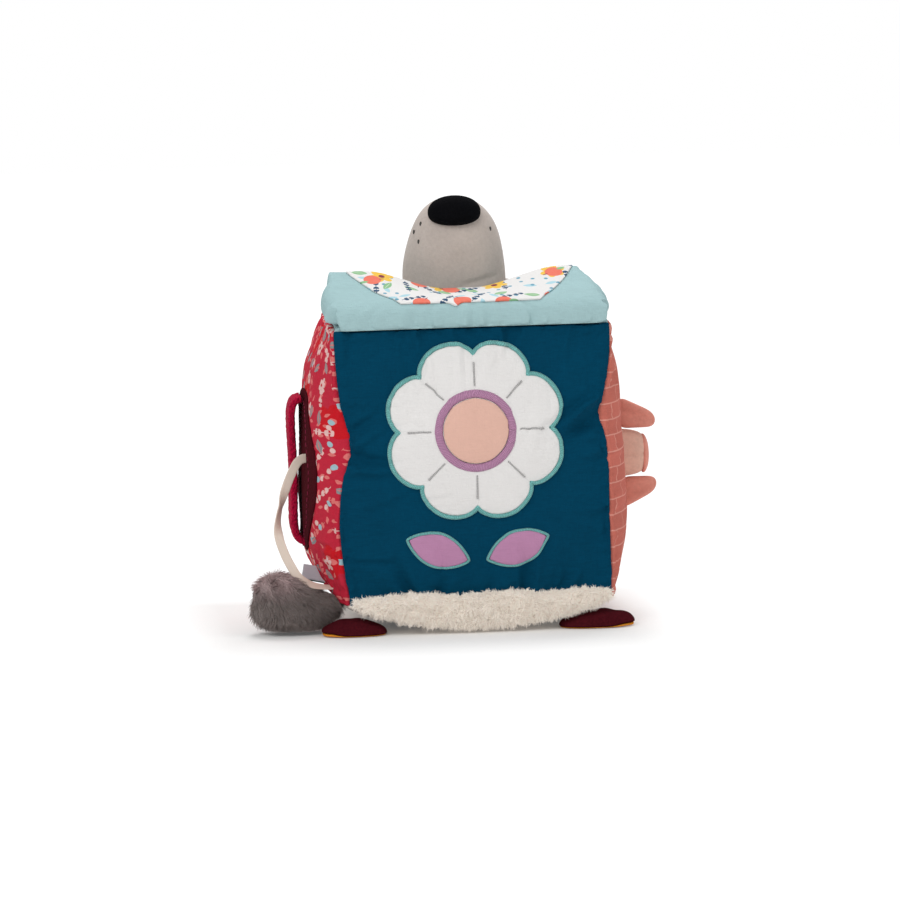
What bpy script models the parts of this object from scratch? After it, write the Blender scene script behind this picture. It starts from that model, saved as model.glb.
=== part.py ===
"""A soft fabric activity block for a baby: six padded panels sewn round a foam core, with a quilt over the
front half of the top, a plush muzzle behind it, a hand strap and ribbon on the left, a piglet on the right,
a tail and two feet. Metres, +Z up, the front faces -Y, and the origin is the middle of the base on the floor.
"""

import math

import bmesh
import bpy
from mathutils import Matrix, Vector

# Clearances that the whole part shares
PIECE_GAP = 0.0003
MOVING_GAP = 0.0008
CUT_OVERRUN = 0.03

# Block, measured at its seams
BLOCK_WIDTH = 0.179
BLOCK_DEPTH = 0.176
BASE_SEAM_HEIGHT = 0.018
TOP_SEAM_HEIGHT = 0.203
PANEL_THICKNESS = 0.006
FRONT_BULGE = 0.010
BACK_BULGE = 0.010
LEFT_BULGE = 0.0175
RIGHT_BULGE = 0.0155
TOP_BULGE = 0.008
FLOOR_CUT = 0.0005
LOW_SWELL_SHARE = 0.20
REAR_CORNER_DRAW = 0.0065
CORE_EDGE_RADIUS = 0.004
BLOCK_CUTS = 5
WEDGE_OUTER_SHARE = 1.6
WEDGE_INNER_SHARE = 0.02

# Sherpa trim along the front's lower edge
TRIM_WIDTH = 0.176
TRIM_TOP = 0.031
TRIM_FRONT_THICKNESS = 0.010
TRIM_INSIDE_DEPTH = 0.010
TRIM_MIDDLE_BOTTOM = 0.003
TRIM_END_RISE = 0.014

# Applique on the front: a daisy and two leaves
FLOWER_HEIGHT = 0.134
FLOWER_RADIUS = 0.058
FLOWER_PETALS = 8
PETAL_DEPTH = 0.010
PETAL_POINTS = 10
PETAL_THICKNESS = 0.0010
EDGING_WIDTH = 0.0030
EDGING_THICKNESS = 0.0016
CENTRE_RADIUS = 0.021
CENTRE_THICKNESS = 0.0010
RING_WIDTH = 0.0055
RING_THICKNESS = 0.0013
ROUND_POINTS = 32
LEAF_LENGTH = 0.040
LEAF_HALF_WIDTH = 0.0105
LEAF_HEIGHT = 0.046
LEAF_INNER_END = 0.008
LEAF_ANGLE = math.radians(20)
LEAF_POINTS = 9
LEAF_THICKNESS = 0.0010

# Quilt over the front half of the top
QUILT_WIDTH = 0.189
QUILT_FRONT_PROUD = 0.005
QUILT_FRONT_NARROWING = 0.004
QUILT_NARROW_SHARE = 0.3
QUILT_REAR = -0.005
QUILT_EDGE_HEIGHT = 0.0160
QUILT_REAR_RISE = 0.0020
QUILT_THICKNESS = 0.007
QUILT_CORNER_RAISE = 0.0130
QUILT_LEVEL_SHARE = 0.12
QUILT_CORNER_SHARE = 0.85
QUILT_SKIRT = 0.012
QUILT_CUTS = 9
PRINT_THICKNESS = 0.0008
PRINT_GAP = 0.0006
PRINT_FRONT_HALF_WIDTH = 0.046
PRINT_REAR_HALF_WIDTH = 0.076
PRINT_FRONT_MARGIN = 0.011
PRINT_NOTCH = 0.003
PRINT_REAR_MARGIN = 0.002

# Head pad, muzzle and nose behind the quilt
HEAD_PAD_MIDDLE = 0.041
HEAD_PAD_HALF_WIDTH = 0.062
HEAD_PAD_HALF_DEPTH = 0.037
HEAD_PAD_RISE = 0.020
MUZZLE_HALF_WIDTH = 0.0342
MUZZLE_HALF_DEPTH = 0.029
MUZZLE_HEIGHT = 0.0745
MUZZLE_FORWARD_LEAN = 0.006
NOSE_HALF_WIDTH = 0.0174
NOSE_HALF_DEPTH = 0.0135
NOSE_HALF_HEIGHT = 0.0115
NOSE_BELOW_TOP = 0.0095
NOSE_FORWARD = 0.022

# Hand strap and its backing on the left panel
STRAP_TOP = 0.152
STRAP_BOTTOM = 0.051
STRAP_WIDTH = 0.026
STRAP_THICKNESS = 0.0055
STRAP_STANDOFF = 0.0050
STRAP_BEND = 0.005
BACKING_THICKNESS = 0.0012
BACKING_HALF_DEPTH = 0.050
BACKING_HALF_HEIGHT = 0.054

# Ribbon, whose route is a list of points from the backing down to the left panel's lower seam
RIBBON_WIDTH = 0.006
RIBBON_THICKNESS = 0.0010
RIBBON_STEP = 0.008
RIBBON_ROUTE = (
    (-0.1057, -0.034, 0.1127),
    (-0.1105, -0.035, 0.1122),
    (-0.1145, -0.036, 0.1085),
    (-0.1200, -0.038, 0.0975),
    (-0.1248, -0.042, 0.0850),
    (-0.1280, -0.047, 0.0725),
    (-0.1278, -0.053, 0.0620),
    (-0.1248, -0.061, 0.0520),
    (-0.1200, -0.069, 0.0440),
    (-0.1145, -0.077, 0.0375),
    (-0.1070, -0.0825, 0.0315),
    (-0.0985, -0.0835, 0.0280),
    (-0.0914, -0.0820, 0.0270),
)

# Tags at the left panel's lower seam
TAG_WIDTH = 0.014
TAG_REACH = 0.0245
TAG_THICKNESS = 0.0010
TAG_HEIGHT = 0.033
TAG_MIDDLE = -0.030
TAG_TILT = math.radians(15)
TAG_LEAN = math.radians(50)

# Tail, lying on the floor at the left
TAIL_LENGTH = 0.060
TAIL_RADIUS = 0.0205
TAIL_ROOT_SHARE = 0.42
TAIL_ROOT_HEIGHT = 0.024
TAIL_MIDDLE = -0.064
TAIL_FLOOR_CLEARANCE = 0.0006
TAIL_ROOT_GAP = 0.0007

# Feet under the front corners
FOOT_LENGTH = 0.050
FOOT_DEPTH = 0.030
FOOT_THICKNESS = 0.0097
FOOT_TOE_OVERHANG = 0.014
FOOT_FRONT_OVERHANG = 0.009
SOLE_THICKNESS = 0.0024
SOLE_FLOOR_GAP = 0.0003
SOLE_MARGIN = 0.0006
FOOT_HEEL_INSET = 0.003

# Piglet on the right panel
PIGLET_HEIGHT = 0.105
PIGLET_HEAD_HALF_DEPTH = 0.017
PIGLET_HEAD_HALF_HEIGHT = 0.0155
PIGLET_HEAD_REACH = 0.0165
SNOUT_RADIUS = 0.0130
SNOUT_THICKNESS = 0.0045
SNOUT_SINK = 0.0015
SNOUT_EDGE_RADIUS = 0.0014
EAR_LENGTH = 0.0245
EAR_HALF_HEIGHT = 0.0105
EAR_HALF_THICKNESS = 0.0036
EAR_TIP_SHARE = 0.42
EAR_ROOT_THICKNESS_SHARE = 0.35
EAR_ROOT_SINK = 0.0030
EAR_HEAD_GAP = 0.0016
EAR_SQUARENESS = 0.62

# Sizes worked out from those above
MIDDLE_HEIGHT = (BASE_SEAM_HEIGHT + TOP_SEAM_HEIGHT) / 2
LEFT_CREST = BLOCK_WIDTH / 2 + LEFT_BULGE
RIGHT_CREST = BLOCK_WIDTH / 2 + RIGHT_BULGE
BASE_BULGE = BASE_SEAM_HEIGHT + FLOOR_CUT
BLOCK_FRONT = -BLOCK_DEPTH / 2

# Colours, linear
PETROL = (0.003, 0.045, 0.095)
RED_PRINT = (0.48, 0.02, 0.045)
CORAL = (0.72, 0.17, 0.12)
AQUA = (0.36, 0.62, 0.62)
FLEECE = (0.78, 0.72, 0.64)
FOAM = (0.80, 0.76, 0.62)
WHITE_COTTON = (0.85, 0.85, 0.84)
PEACH = (0.86, 0.52, 0.38)
MAUVE = (0.50, 0.24, 0.42)
TEAL_THREAD = (0.18, 0.50, 0.48)
GREY_PLUSH = (0.40, 0.36, 0.33)
BLACK_VELOUR = (0.012, 0.012, 0.014)
CRIMSON = (0.42, 0.004, 0.035)
BURGUNDY = (0.085, 0.008, 0.018)
CREAM_SATIN = (0.78, 0.70, 0.60)
TAG_GREY = (0.52, 0.50, 0.58)
TAG_GREEN = (0.02, 0.10, 0.06)
TAIL_FUR = (0.16, 0.13, 0.12)
SOLE_ORANGE = (0.75, 0.26, 0.04)
PIGLET_PINK = (0.82, 0.48, 0.38)


def clear_scene():
    """Removes the startup objects and the collections that held them."""
    for obj in list(bpy.data.objects):
        bpy.data.objects.remove(obj, do_unlink=True)
    for collection in list(bpy.data.collections):
        bpy.data.collections.remove(collection)


def new_collection(name):
    collection = bpy.data.collections.new(name)
    bpy.context.scene.collection.children.link(collection)
    return collection


def material(name, colour, roughness):
    """A plain cloth material."""
    made = bpy.data.materials.get(name)
    if made is None:
        made = bpy.data.materials.new(name)
        made.use_nodes = True
        shader = made.node_tree.nodes["Principled BSDF"]
        shader.inputs["Base Color"].default_value = (*colour, 1.0)
        shader.inputs["Roughness"].default_value = roughness
        shader.inputs["Metallic"].default_value = 0.0
    return made


def place(obj, finish, collection):
    """Puts the object in its collection, with its material, or as a cutter when it has none."""
    if finish is None:
        obj.hide_render = True
        obj.display_type = "WIRE"
    else:
        obj.data.materials.append(finish)
    collection.objects.link(obj)
    return obj


def object_from_bmesh(name, bm, finish, collection):
    mesh = bpy.data.meshes.new(name)
    bmesh.ops.recalc_face_normals(bm, faces=bm.faces)
    bm.to_mesh(mesh)
    bm.free()
    return place(bpy.data.objects.new(name, mesh), finish, collection)


def add_boolean(obj, cutter, operation):
    modifier = obj.modifiers.new(operation.title() + "_" + cutter.name, "BOOLEAN")
    modifier.object = cutter
    modifier.operation = operation
    modifier.solver = "EXACT"


def add_subdivision(obj, levels=1):
    modifier = obj.modifiers.new("Smooth", "SUBSURF")
    modifier.levels = levels
    modifier.render_levels = levels


def add_bevel(obj, width, segments, angle=math.radians(30)):
    modifier = obj.modifiers.new("Rounded edges", "BEVEL")
    modifier.width = width
    modifier.segments = segments
    modifier.limit_method = "ANGLE"
    modifier.angle_limit = angle
    modifier.use_clamp_overlap = True


def shade_smooth(obj):
    obj.data.shade_smooth()


def crown(a, b, power_a=2, power_b=2):
    """1 in the middle of a face, 0 along its seams."""
    return (1 - abs(a) ** power_a) * (1 - abs(b) ** power_b)


def on_face(value, side):
    return abs(value - side) < 1e-6


def block_point(u, v, w, grow):
    """A point of the cube from -1 to 1, taken to the block's seams and pushed out by its face's bulge. The upper
    corners at the rear are drawn in.
    """
    share = (w + 1) / 2
    drawn_in = REAR_CORNER_DRAW * max(v, 0) ** 2 * max(w, 0) ** 4
    x = u * (BLOCK_WIDTH / 2 + grow - drawn_in)
    y = v * (BLOCK_DEPTH / 2 + grow)
    z = (BASE_SEAM_HEIGHT - grow) * (1 - share) + (TOP_SEAM_HEIGHT + grow) * share
    side_swell = crown(v, w, 2, 4) * (1 - LOW_SWELL_SHARE * w)
    if on_face(u, -1):
        x -= LEFT_BULGE * side_swell
    if on_face(u, 1):
        x += RIGHT_BULGE * side_swell
    if on_face(v, -1):
        y -= FRONT_BULGE * crown(u, w)
    if on_face(v, 1):
        y += BACK_BULGE * crown(u, w)
    if on_face(w, -1):
        z -= BASE_BULGE * crown(u, v, 4, 4)
    if on_face(w, 1):
        z += TOP_BULGE * crown(u, v)
    return Vector((x, y, z))


def cube_cage(cuts):
    bm = bmesh.new()
    bmesh.ops.create_cube(bm, size=2)
    bmesh.ops.subdivide_edges(bm, edges=bm.edges[:], cuts=cuts, use_grid_fill=True)
    return bm


def crease_box_edges(bm):
    """Keeps the twelve seams sharp under the subdivision."""
    layer = bm.edges.layers.float.get("crease_edge") or bm.edges.layers.float.new("crease_edge")
    for edge in bm.edges:
        middle = (edge.verts[0].co + edge.verts[1].co) / 2
        if sum(abs(abs(value) - 1) < 1e-6 for value in middle) >= 2:
            edge[layer] = 1.0


def block_form(name, grow, finish, collection):
    """The whole stuffed block, its surface moved out by grow."""
    bm = cube_cage(BLOCK_CUTS)
    crease_box_edges(bm)
    for vert in bm.verts:
        vert.co = block_point(*vert.co, grow)
    obj = object_from_bmesh(name, bm, finish, collection)
    add_subdivision(obj)
    return obj


def wedge(name, axis, side, collection):
    """The pyramid from the block's middle through one face, which mitres that face's panel."""
    bm = bmesh.new()
    bmesh.ops.create_cube(bm, size=2)
    middle = Vector((0, 0, MIDDLE_HEIGHT))
    half = Vector((BLOCK_WIDTH / 2, BLOCK_DEPTH / 2, (TOP_SEAM_HEIGHT - BASE_SEAM_HEIGHT) / 2))
    for vert in bm.verts:
        reach = WEDGE_OUTER_SHARE if on_face(vert.co[axis], side) else WEDGE_INNER_SHARE
        corner = vert.co.copy()
        corner[axis] = side
        vert.co = middle + Vector((corner.x * half.x, corner.y * half.y, corner.z * half.z)) * reach
        vert.co[axis] += side * PIECE_GAP / math.sqrt(2)
    return object_from_bmesh(name, bm, None, collection)


def box(name, low, high, finish, collection):
    bm = bmesh.new()
    bmesh.ops.create_cube(bm, size=1)
    low = Vector(low)
    high = Vector(high)
    for vert in bm.verts:
        share = vert.co + Vector((0.5, 0.5, 0.5))
        vert.co = Vector(low[k] + (high[k] - low[k]) * share[k] for k in range(3))
    return object_from_bmesh(name, bm, finish, collection)


def round_power(value, squareness):
    return math.copysign(abs(value) ** squareness, value)


def stuffed_form(name, to_place, squareness, finish, collection, segments=20, rings=12):
    """A ball whose points, from -1 to 1, are squared off and then taken to their place by to_place."""
    bm = bmesh.new()
    bmesh.ops.create_uvsphere(bm, u_segments=segments, v_segments=rings, radius=1)
    for vert in bm.verts:
        unit = Vector(round_power(value, squareness) for value in vert.co)
        vert.co = to_place(unit)
    obj = object_from_bmesh(name, bm, finish, collection)
    shade_smooth(obj)
    return obj


def mesh_from_curve(curve_object, finish, collection):
    """Turns a filled curve into a mesh with its caps welded, and removes the curve."""
    name = curve_object.name
    bpy.context.scene.collection.objects.link(curve_object)
    graph = bpy.context.evaluated_depsgraph_get()
    mesh = bpy.data.meshes.new_from_object(curve_object.evaluated_get(graph))
    matrix = curve_object.matrix_world.copy()
    bpy.data.objects.remove(curve_object, do_unlink=True)
    bm = bmesh.new()
    bm.from_mesh(mesh)
    bpy.data.meshes.remove(mesh)
    bm.transform(matrix)
    bmesh.ops.remove_doubles(bm, verts=bm.verts, dist=PIECE_GAP / 30)
    obj = object_from_bmesh(name, bm, finish, collection)
    obj.name = name
    return obj


def extruded_outline(name, outlines, middle, half_thickness, turn, finish, collection):
    """A flat outline with thickness: outlines are drawn in XY, then turned and moved to middle."""
    curve = bpy.data.curves.new(name, "CURVE")
    curve.dimensions = "2D"
    curve.fill_mode = "BOTH"
    curve.extrude = half_thickness
    for points in outlines:
        spline = curve.splines.new("POLY")
        spline.points.add(len(points) - 1)
        spline.use_cyclic_u = True
        for target, (x, y) in zip(spline.points, points):
            target.co = (x, y, 0, 1)
    obj = bpy.data.objects.new(name, curve)
    obj.matrix_world = Matrix.Translation(middle) @ turn
    return mesh_from_curve(obj, finish, collection)


def standing_turn():
    """Takes an outline drawn in XY to the XZ plane, as seen from the front."""
    return Matrix.Rotation(math.radians(90), 4, "X")


def circle(radius, points, x=0.0, y=0.0):
    steps = [2 * math.pi * k / points for k in range(points)]
    return [(x + radius * math.cos(a), y + radius * math.sin(a)) for a in steps]


def flower_outline(radius):
    """A daisy: its radius falls by PETAL_DEPTH between one petal and the next."""
    count = FLOWER_PETALS * PETAL_POINTS
    points = []
    for k in range(count):
        angle = 2 * math.pi * (k + 0.5) / count
        lobe = abs(math.sin(FLOWER_PETALS * angle / 2)) ** 0.6
        reach = radius - PETAL_DEPTH * (1 - lobe)
        points.append((reach * math.cos(angle), reach * math.sin(angle)))
    return points


def leaf_outline(side):
    """Two arcs that meet in a point at both ends, turned upwards to the side."""
    upper = []
    lower = []
    for k in range(LEAF_POINTS):
        share = k / (LEAF_POINTS - 1)
        width = LEAF_HALF_WIDTH * math.sin(math.pi * share) ** 0.8
        along = LEAF_INNER_END + LEAF_LENGTH * share
        upper.append((along, width))
        lower.append((along, -width))
    points = upper + lower[-2:0:-1]
    turn = Matrix.Rotation(LEAF_ANGLE, 2)
    turned = [turn @ Vector(point) for point in points]
    return [(side * point.x, point.y) for point in turned]


def hinge(name, location, pieces, collection):
    """An empty on a joint's axis, which the moving pieces hang from where they are."""
    empty = bpy.data.objects.new(name, None)
    empty.location = location
    empty.empty_display_size = PANEL_THICKNESS
    collection.objects.link(empty)
    for piece in pieces:
        piece.parent = empty
        piece.matrix_parent_inverse = Matrix.Translation(-Vector(location))


class Maker:
    """Holds the collections and the cutters that many pieces share."""

    def __init__(self):
        self.parts = new_collection("soft_fabric_block")
        self.cutters = new_collection("cutters")
        self.block_cutters = {}

    def block_cutter(self, grow):
        """The block grown by this much, made once for each amount."""
        key = round(grow / PIECE_GAP * 100)
        if key not in self.block_cutters:
            name = "cut_block_" + str(len(self.block_cutters))
            self.block_cutters[key] = block_form(name, grow, None, self.cutters)
        return self.block_cutters[key]

    def seat_on_block(self, obj, gap=PIECE_GAP):
        add_boolean(obj, self.block_cutter(gap), "DIFFERENCE")

    def skin_on_block(self, obj, inner, thickness):
        """Keeps the part of the prism that lies between inner and inner plus thickness off the block."""
        add_boolean(obj, self.block_cutter(inner + thickness), "INTERSECT")
        add_boolean(obj, self.block_cutter(inner), "DIFFERENCE")


def make_core_and_panels(maker):
    """The foam core and the six padded panels, mitred where they meet."""
    core_grow = -PANEL_THICKNESS - PIECE_GAP
    half_width = BLOCK_WIDTH / 2
    half_depth = BLOCK_DEPTH / 2
    core_low = (-half_width - core_grow, -half_depth - core_grow, BASE_SEAM_HEIGHT - core_grow)
    core_high = (half_width + core_grow, half_depth + core_grow, TOP_SEAM_HEIGHT + core_grow)
    core = box("foam_core", core_low, core_high, material("Foam", FOAM, 0.9), maker.parts)
    add_bevel(core, CORE_EDGE_RADIUS, 2)

    inset = PANEL_THICKNESS
    space_low = (-half_width + inset, -half_depth + inset, BASE_SEAM_HEIGHT + inset)
    space_high = (half_width - inset, half_depth - inset, TOP_SEAM_HEIGHT - inset)
    core_space = box("cut_core_space", space_low, space_high, None, maker.cutters)

    floor_reach = BLOCK_WIDTH
    floor_low = (-floor_reach, -floor_reach, -CUT_OVERRUN)
    floor = box("cut_floor", floor_low, (floor_reach, floor_reach, 0), None, maker.cutters)

    panels = (
        ("front_panel", 1, -1, material("Petrol cotton", PETROL, 0.85)),
        ("back_panel", 1, 1, material("Petrol cotton", PETROL, 0.85)),
        ("left_panel", 0, -1, material("Red print cotton", RED_PRINT, 0.85)),
        ("right_panel", 0, 1, material("Coral brick cotton", CORAL, 0.85)),
        ("top_panel", 2, 1, material("Aqua cotton", AQUA, 0.85)),
        ("base_panel", 2, -1, material("Sherpa fleece", FLEECE, 0.95)),
    )
    for name, axis, side, finish in panels:
        panel = block_form(name, 0, finish, maker.parts)
        add_boolean(panel, wedge("cut_wedge_" + name, axis, side, maker.cutters), "INTERSECT")
        add_boolean(panel, core_space, "DIFFERENCE")
        if name == "base_panel":
            add_boolean(panel, floor, "DIFFERENCE")


def make_sherpa_trim(maker):
    """A fleece roll along the front's lower edge, whose underside rises towards its ends."""
    bm = cube_cage(3)
    for vert in bm.verts:
        u, v, w = vert.co
        share = (w + 1) / 2
        bottom = TRIM_MIDDLE_BOTTOM + TRIM_END_RISE * abs(u) ** 1.5
        front = BLOCK_FRONT - TRIM_FRONT_THICKNESS
        back = BLOCK_FRONT + TRIM_INSIDE_DEPTH
        y = front + (back - front) * (v + 1) / 2
        vert.co = (u * TRIM_WIDTH / 2, y, bottom + (TRIM_TOP - bottom) * share)
    trim = object_from_bmesh("sherpa_trim", bm, material("Sherpa fleece", FLEECE, 0.95), maker.parts)
    add_subdivision(trim)
    maker.seat_on_block(trim)


def front_prism(maker, name, outlines, height, finish):
    """An outline standing in front of the block and reaching into it, for skin_on_block to trim."""
    reach = FRONT_BULGE + CUT_OVERRUN
    middle = Vector((0, BLOCK_FRONT, height))
    return extruded_outline(name, outlines, middle, reach, standing_turn(), finish, maker.parts)


def make_applique(maker):
    """White petals with a satin-stitched edge, a mauve ring round a peach centre, and two mauve leaves."""
    petals = front_prism(
        maker,
        "flower_petals",
        [flower_outline(FLOWER_RADIUS)],
        FLOWER_HEIGHT,
        material("White cotton", WHITE_COTTON, 0.85),
    )
    maker.skin_on_block(petals, PIECE_GAP, PETAL_THICKNESS)

    edging = front_prism(
        maker,
        "flower_edging",
        [flower_outline(FLOWER_RADIUS + PIECE_GAP + EDGING_WIDTH), flower_outline(FLOWER_RADIUS + PIECE_GAP)],
        FLOWER_HEIGHT,
        material("Teal thread", TEAL_THREAD, 0.6),
    )
    maker.skin_on_block(edging, PIECE_GAP, EDGING_THICKNESS)

    on_petals = PIECE_GAP + PETAL_THICKNESS + PIECE_GAP
    centre = front_prism(
        maker,
        "flower_centre",
        [circle(CENTRE_RADIUS, ROUND_POINTS)],
        FLOWER_HEIGHT,
        material("Peach cotton", PEACH, 0.85),
    )
    maker.skin_on_block(centre, on_petals, CENTRE_THICKNESS)

    ring_inner = CENTRE_RADIUS + PIECE_GAP
    ring = front_prism(
        maker,
        "flower_ring",
        [circle(ring_inner + RING_WIDTH, ROUND_POINTS), circle(ring_inner, ROUND_POINTS)],
        FLOWER_HEIGHT,
        material("Mauve cotton", MAUVE, 0.8),
    )
    maker.skin_on_block(ring, on_petals, RING_THICKNESS)

    for name, side in (("leaf_left", -1), ("leaf_right", 1)):
        leaf = front_prism(
            maker, name, [leaf_outline(side)], LEAF_HEIGHT, material("Mauve cotton", MAUVE, 0.8)
        )
        maker.skin_on_block(leaf, PIECE_GAP, LEAF_THICKNESS)


def eased(value, low, high):
    """0 up to low and 1 from high, with a smooth rise between them."""
    share = min(max((value - low) / (high - low), 0), 1)
    return share * share * (3 - 2 * share)


def quilt_form(name, grow, finish, collection):
    """A soft lid over the block's top whose rear corners, at the quilt's rear edge, stand up."""
    bm = cube_cage(QUILT_CUTS)
    half_width = QUILT_WIDTH / 2 + grow
    half_depth = BLOCK_DEPTH / 2 + QUILT_FRONT_PROUD + grow
    low = TOP_SEAM_HEIGHT - QUILT_SKIRT
    edge_top = TOP_SEAM_HEIGHT + QUILT_EDGE_HEIGHT + grow
    for vert in bm.verts:
        u, v, w = (math.sin(value * math.pi / 2) for value in vert.co)
        y = v * half_depth
        back_share = min(max((y + half_depth) / (QUILT_REAR + half_depth), 0), 1.3)
        x = u * (half_width - QUILT_FRONT_NARROWING * (1 - eased(back_share, 0, QUILT_NARROW_SHARE)))
        corner = eased(abs(u), QUILT_LEVEL_SHARE, QUILT_CORNER_SHARE)
        top = edge_top + QUILT_REAR_RISE * back_share + QUILT_CORNER_RAISE * back_share**1.5 * corner
        vert.co = (x, y, low + (top - low) * (w + 1) / 2)
    obj = object_from_bmesh(name, bm, finish, collection)
    add_subdivision(obj)
    return obj


def make_quilt(maker):
    """The padded quilt, open at the rear and below, and the printed field on it."""
    reach = BLOCK_WIDTH
    window_low = (-reach, -reach, TOP_SEAM_HEIGHT)
    window_high = (reach, QUILT_REAR, TOP_SEAM_HEIGHT + reach)
    window = box("cut_quilt_window", window_low, window_high, None, maker.cutters)
    inside = quilt_form("cut_quilt_inside", -QUILT_THICKNESS, None, maker.cutters)

    quilt = quilt_form("quilt", 0, material("Aqua cotton", AQUA, 0.85), maker.parts)
    add_boolean(quilt, window, "INTERSECT")
    add_boolean(quilt, inside, "DIFFERENCE")
    maker.seat_on_block(quilt)

    print_back = quilt_form("cut_print_back", PRINT_GAP, None, maker.cutters)
    print_face = quilt_form("cut_print_face", PRINT_GAP + PRINT_THICKNESS, None, maker.cutters)
    front = BLOCK_FRONT - QUILT_FRONT_PROUD + PRINT_FRONT_MARGIN
    rear = QUILT_REAR - PRINT_REAR_MARGIN
    outline = [
        (-PRINT_REAR_HALF_WIDTH, rear),
        (-PRINT_FRONT_HALF_WIDTH, front),
        (-PRINT_NOTCH, front),
        (0, front - PRINT_NOTCH),
        (PRINT_NOTCH, front),
        (PRINT_FRONT_HALF_WIDTH, front),
        (PRINT_REAR_HALF_WIDTH, rear),
    ]
    field = extruded_outline(
        "quilt_print",
        [outline],
        Vector((0, 0, TOP_SEAM_HEIGHT + CUT_OVERRUN)),
        CUT_OVERRUN,
        Matrix.Identity(4),
        material("White print cotton", WHITE_COTTON, 0.85),
        maker.parts,
    )
    add_boolean(field, print_face, "INTERSECT")
    add_boolean(field, print_back, "DIFFERENCE")
    hem_middle = BLOCK_FRONT - (QUILT_FRONT_PROUD + PIECE_GAP) / 2
    hinge("quilt_hinge", (0, hem_middle, TOP_SEAM_HEIGHT), (quilt, field), maker.parts)


def make_head(maker):
    """A low plush dome on the rear of the top, the muzzle standing in it, and the velour nose."""
    plush = material("Grey plush", GREY_PLUSH, 0.95)
    top = TOP_SEAM_HEIGHT + TOP_BULGE

    def pad_point(unit, grow=0.0):
        x = unit.x * (HEAD_PAD_HALF_WIDTH + grow)
        y = HEAD_PAD_MIDDLE + unit.y * (HEAD_PAD_HALF_DEPTH + grow)
        return Vector((x, y, TOP_SEAM_HEIGHT + unit.z * (HEAD_PAD_RISE + grow)))

    def muzzle_point(unit, grow=0.0):
        lean = MUZZLE_FORWARD_LEAN * max(unit.z, 0)
        x = unit.x * (MUZZLE_HALF_WIDTH + grow)
        y = HEAD_PAD_MIDDLE + unit.y * (MUZZLE_HALF_DEPTH + grow) - lean
        return Vector((x, y, top + unit.z * (MUZZLE_HEIGHT + grow - TOP_BULGE)))

    def nose_point(unit):
        x = unit.x * NOSE_HALF_WIDTH
        y = HEAD_PAD_MIDDLE - NOSE_FORWARD + unit.y * NOSE_HALF_DEPTH
        return Vector((x, y, TOP_SEAM_HEIGHT + MUZZLE_HEIGHT - NOSE_BELOW_TOP + unit.z * NOSE_HALF_HEIGHT))

    pad = stuffed_form("head_pad", pad_point, 0.85, plush, maker.parts, 28, 14)
    maker.seat_on_block(pad)
    pad_cutter = stuffed_form(
        "cut_head_pad", lambda unit: pad_point(unit, PIECE_GAP), 0.85, None, maker.cutters, 28, 14
    )
    muzzle = stuffed_form("muzzle", muzzle_point, 0.89, plush, maker.parts, 28, 18)
    add_boolean(muzzle, pad_cutter, "DIFFERENCE")
    maker.seat_on_block(muzzle)
    muzzle_cutter = stuffed_form(
        "cut_muzzle", lambda unit: muzzle_point(unit, PIECE_GAP), 0.89, None, maker.cutters, 28, 18
    )
    velour = material("Black velour", BLACK_VELOUR, 0.9)
    nose = stuffed_form("nose", nose_point, 0.9, velour, maker.parts, 24, 14)
    add_boolean(nose, muzzle_cutter, "DIFFERENCE")


def make_strap(maker):
    """The hand strap, held at both ends, and the oval felt patch under it."""
    backing_reach = LEFT_BULGE + CUT_OVERRUN
    middle_height = (STRAP_TOP + STRAP_BOTTOM) / 2
    oval = [
        (x * BACKING_HALF_HEIGHT, y * BACKING_HALF_DEPTH) for x, y in circle(1, ROUND_POINTS)
    ]
    backing = extruded_outline(
        "strap_backing",
        [oval],
        Vector((-BLOCK_WIDTH / 2, 0, middle_height)),
        backing_reach,
        Matrix.Rotation(math.radians(90), 4, "Y"),
        material("Burgundy felt", BURGUNDY, 0.95),
        maker.parts,
    )
    maker.skin_on_block(backing, PIECE_GAP, BACKING_THICKNESS)

    seat = PIECE_GAP + BACKING_THICKNESS + PIECE_GAP
    inner = -(LEFT_CREST + seat + STRAP_STANDOFF)
    outer = inner - STRAP_THICKNESS
    root = -LEFT_CREST + STRAP_THICKNESS
    outline = [
        (root, STRAP_TOP),
        (outer + STRAP_BEND, STRAP_TOP),
        (outer, STRAP_TOP - STRAP_BEND),
        (outer, STRAP_BOTTOM + STRAP_BEND),
        (outer + STRAP_BEND, STRAP_BOTTOM),
        (root, STRAP_BOTTOM),
        (root, STRAP_BOTTOM + STRAP_THICKNESS),
        (inner + STRAP_BEND / 2, STRAP_BOTTOM + STRAP_THICKNESS),
        (inner, STRAP_BOTTOM + STRAP_THICKNESS + STRAP_BEND / 2),
        (inner, STRAP_TOP - STRAP_THICKNESS - STRAP_BEND / 2),
        (inner + STRAP_BEND / 2, STRAP_TOP - STRAP_THICKNESS),
        (root, STRAP_TOP - STRAP_THICKNESS),
    ]
    strap = extruded_outline(
        "hand_strap",
        [outline],
        Vector((0, 0, 0)),
        STRAP_WIDTH / 2,
        standing_turn(),
        material("Crimson terry", CRIMSON, 0.95),
        maker.parts,
    )
    maker.seat_on_block(strap, seat)


def smooth_route(points, step):
    """Points a step apart on a Catmull-Rom curve through the route's own points."""
    route = [Vector(point) for point in points]
    padded = [2 * route[0] - route[1]] + route + [2 * route[-1] - route[-2]]
    smooth = []
    for k in range(1, len(padded) - 2):
        p0, p1, p2, p3 = padded[k - 1 : k + 3]
        count = max(2, math.ceil((p2 - p1).length / step))
        for j in range(count):
            t = j / count
            bend = 2 * p0 - 5 * p1 + 4 * p2 - p3
            twist = 3 * p1 - p0 - 3 * p2 + p3
            smooth.append(0.5 * (2 * p1 + (p2 - p0) * t + bend * t**2 + twist * t**3))
    smooth.append(route[-1])
    return smooth


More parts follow.
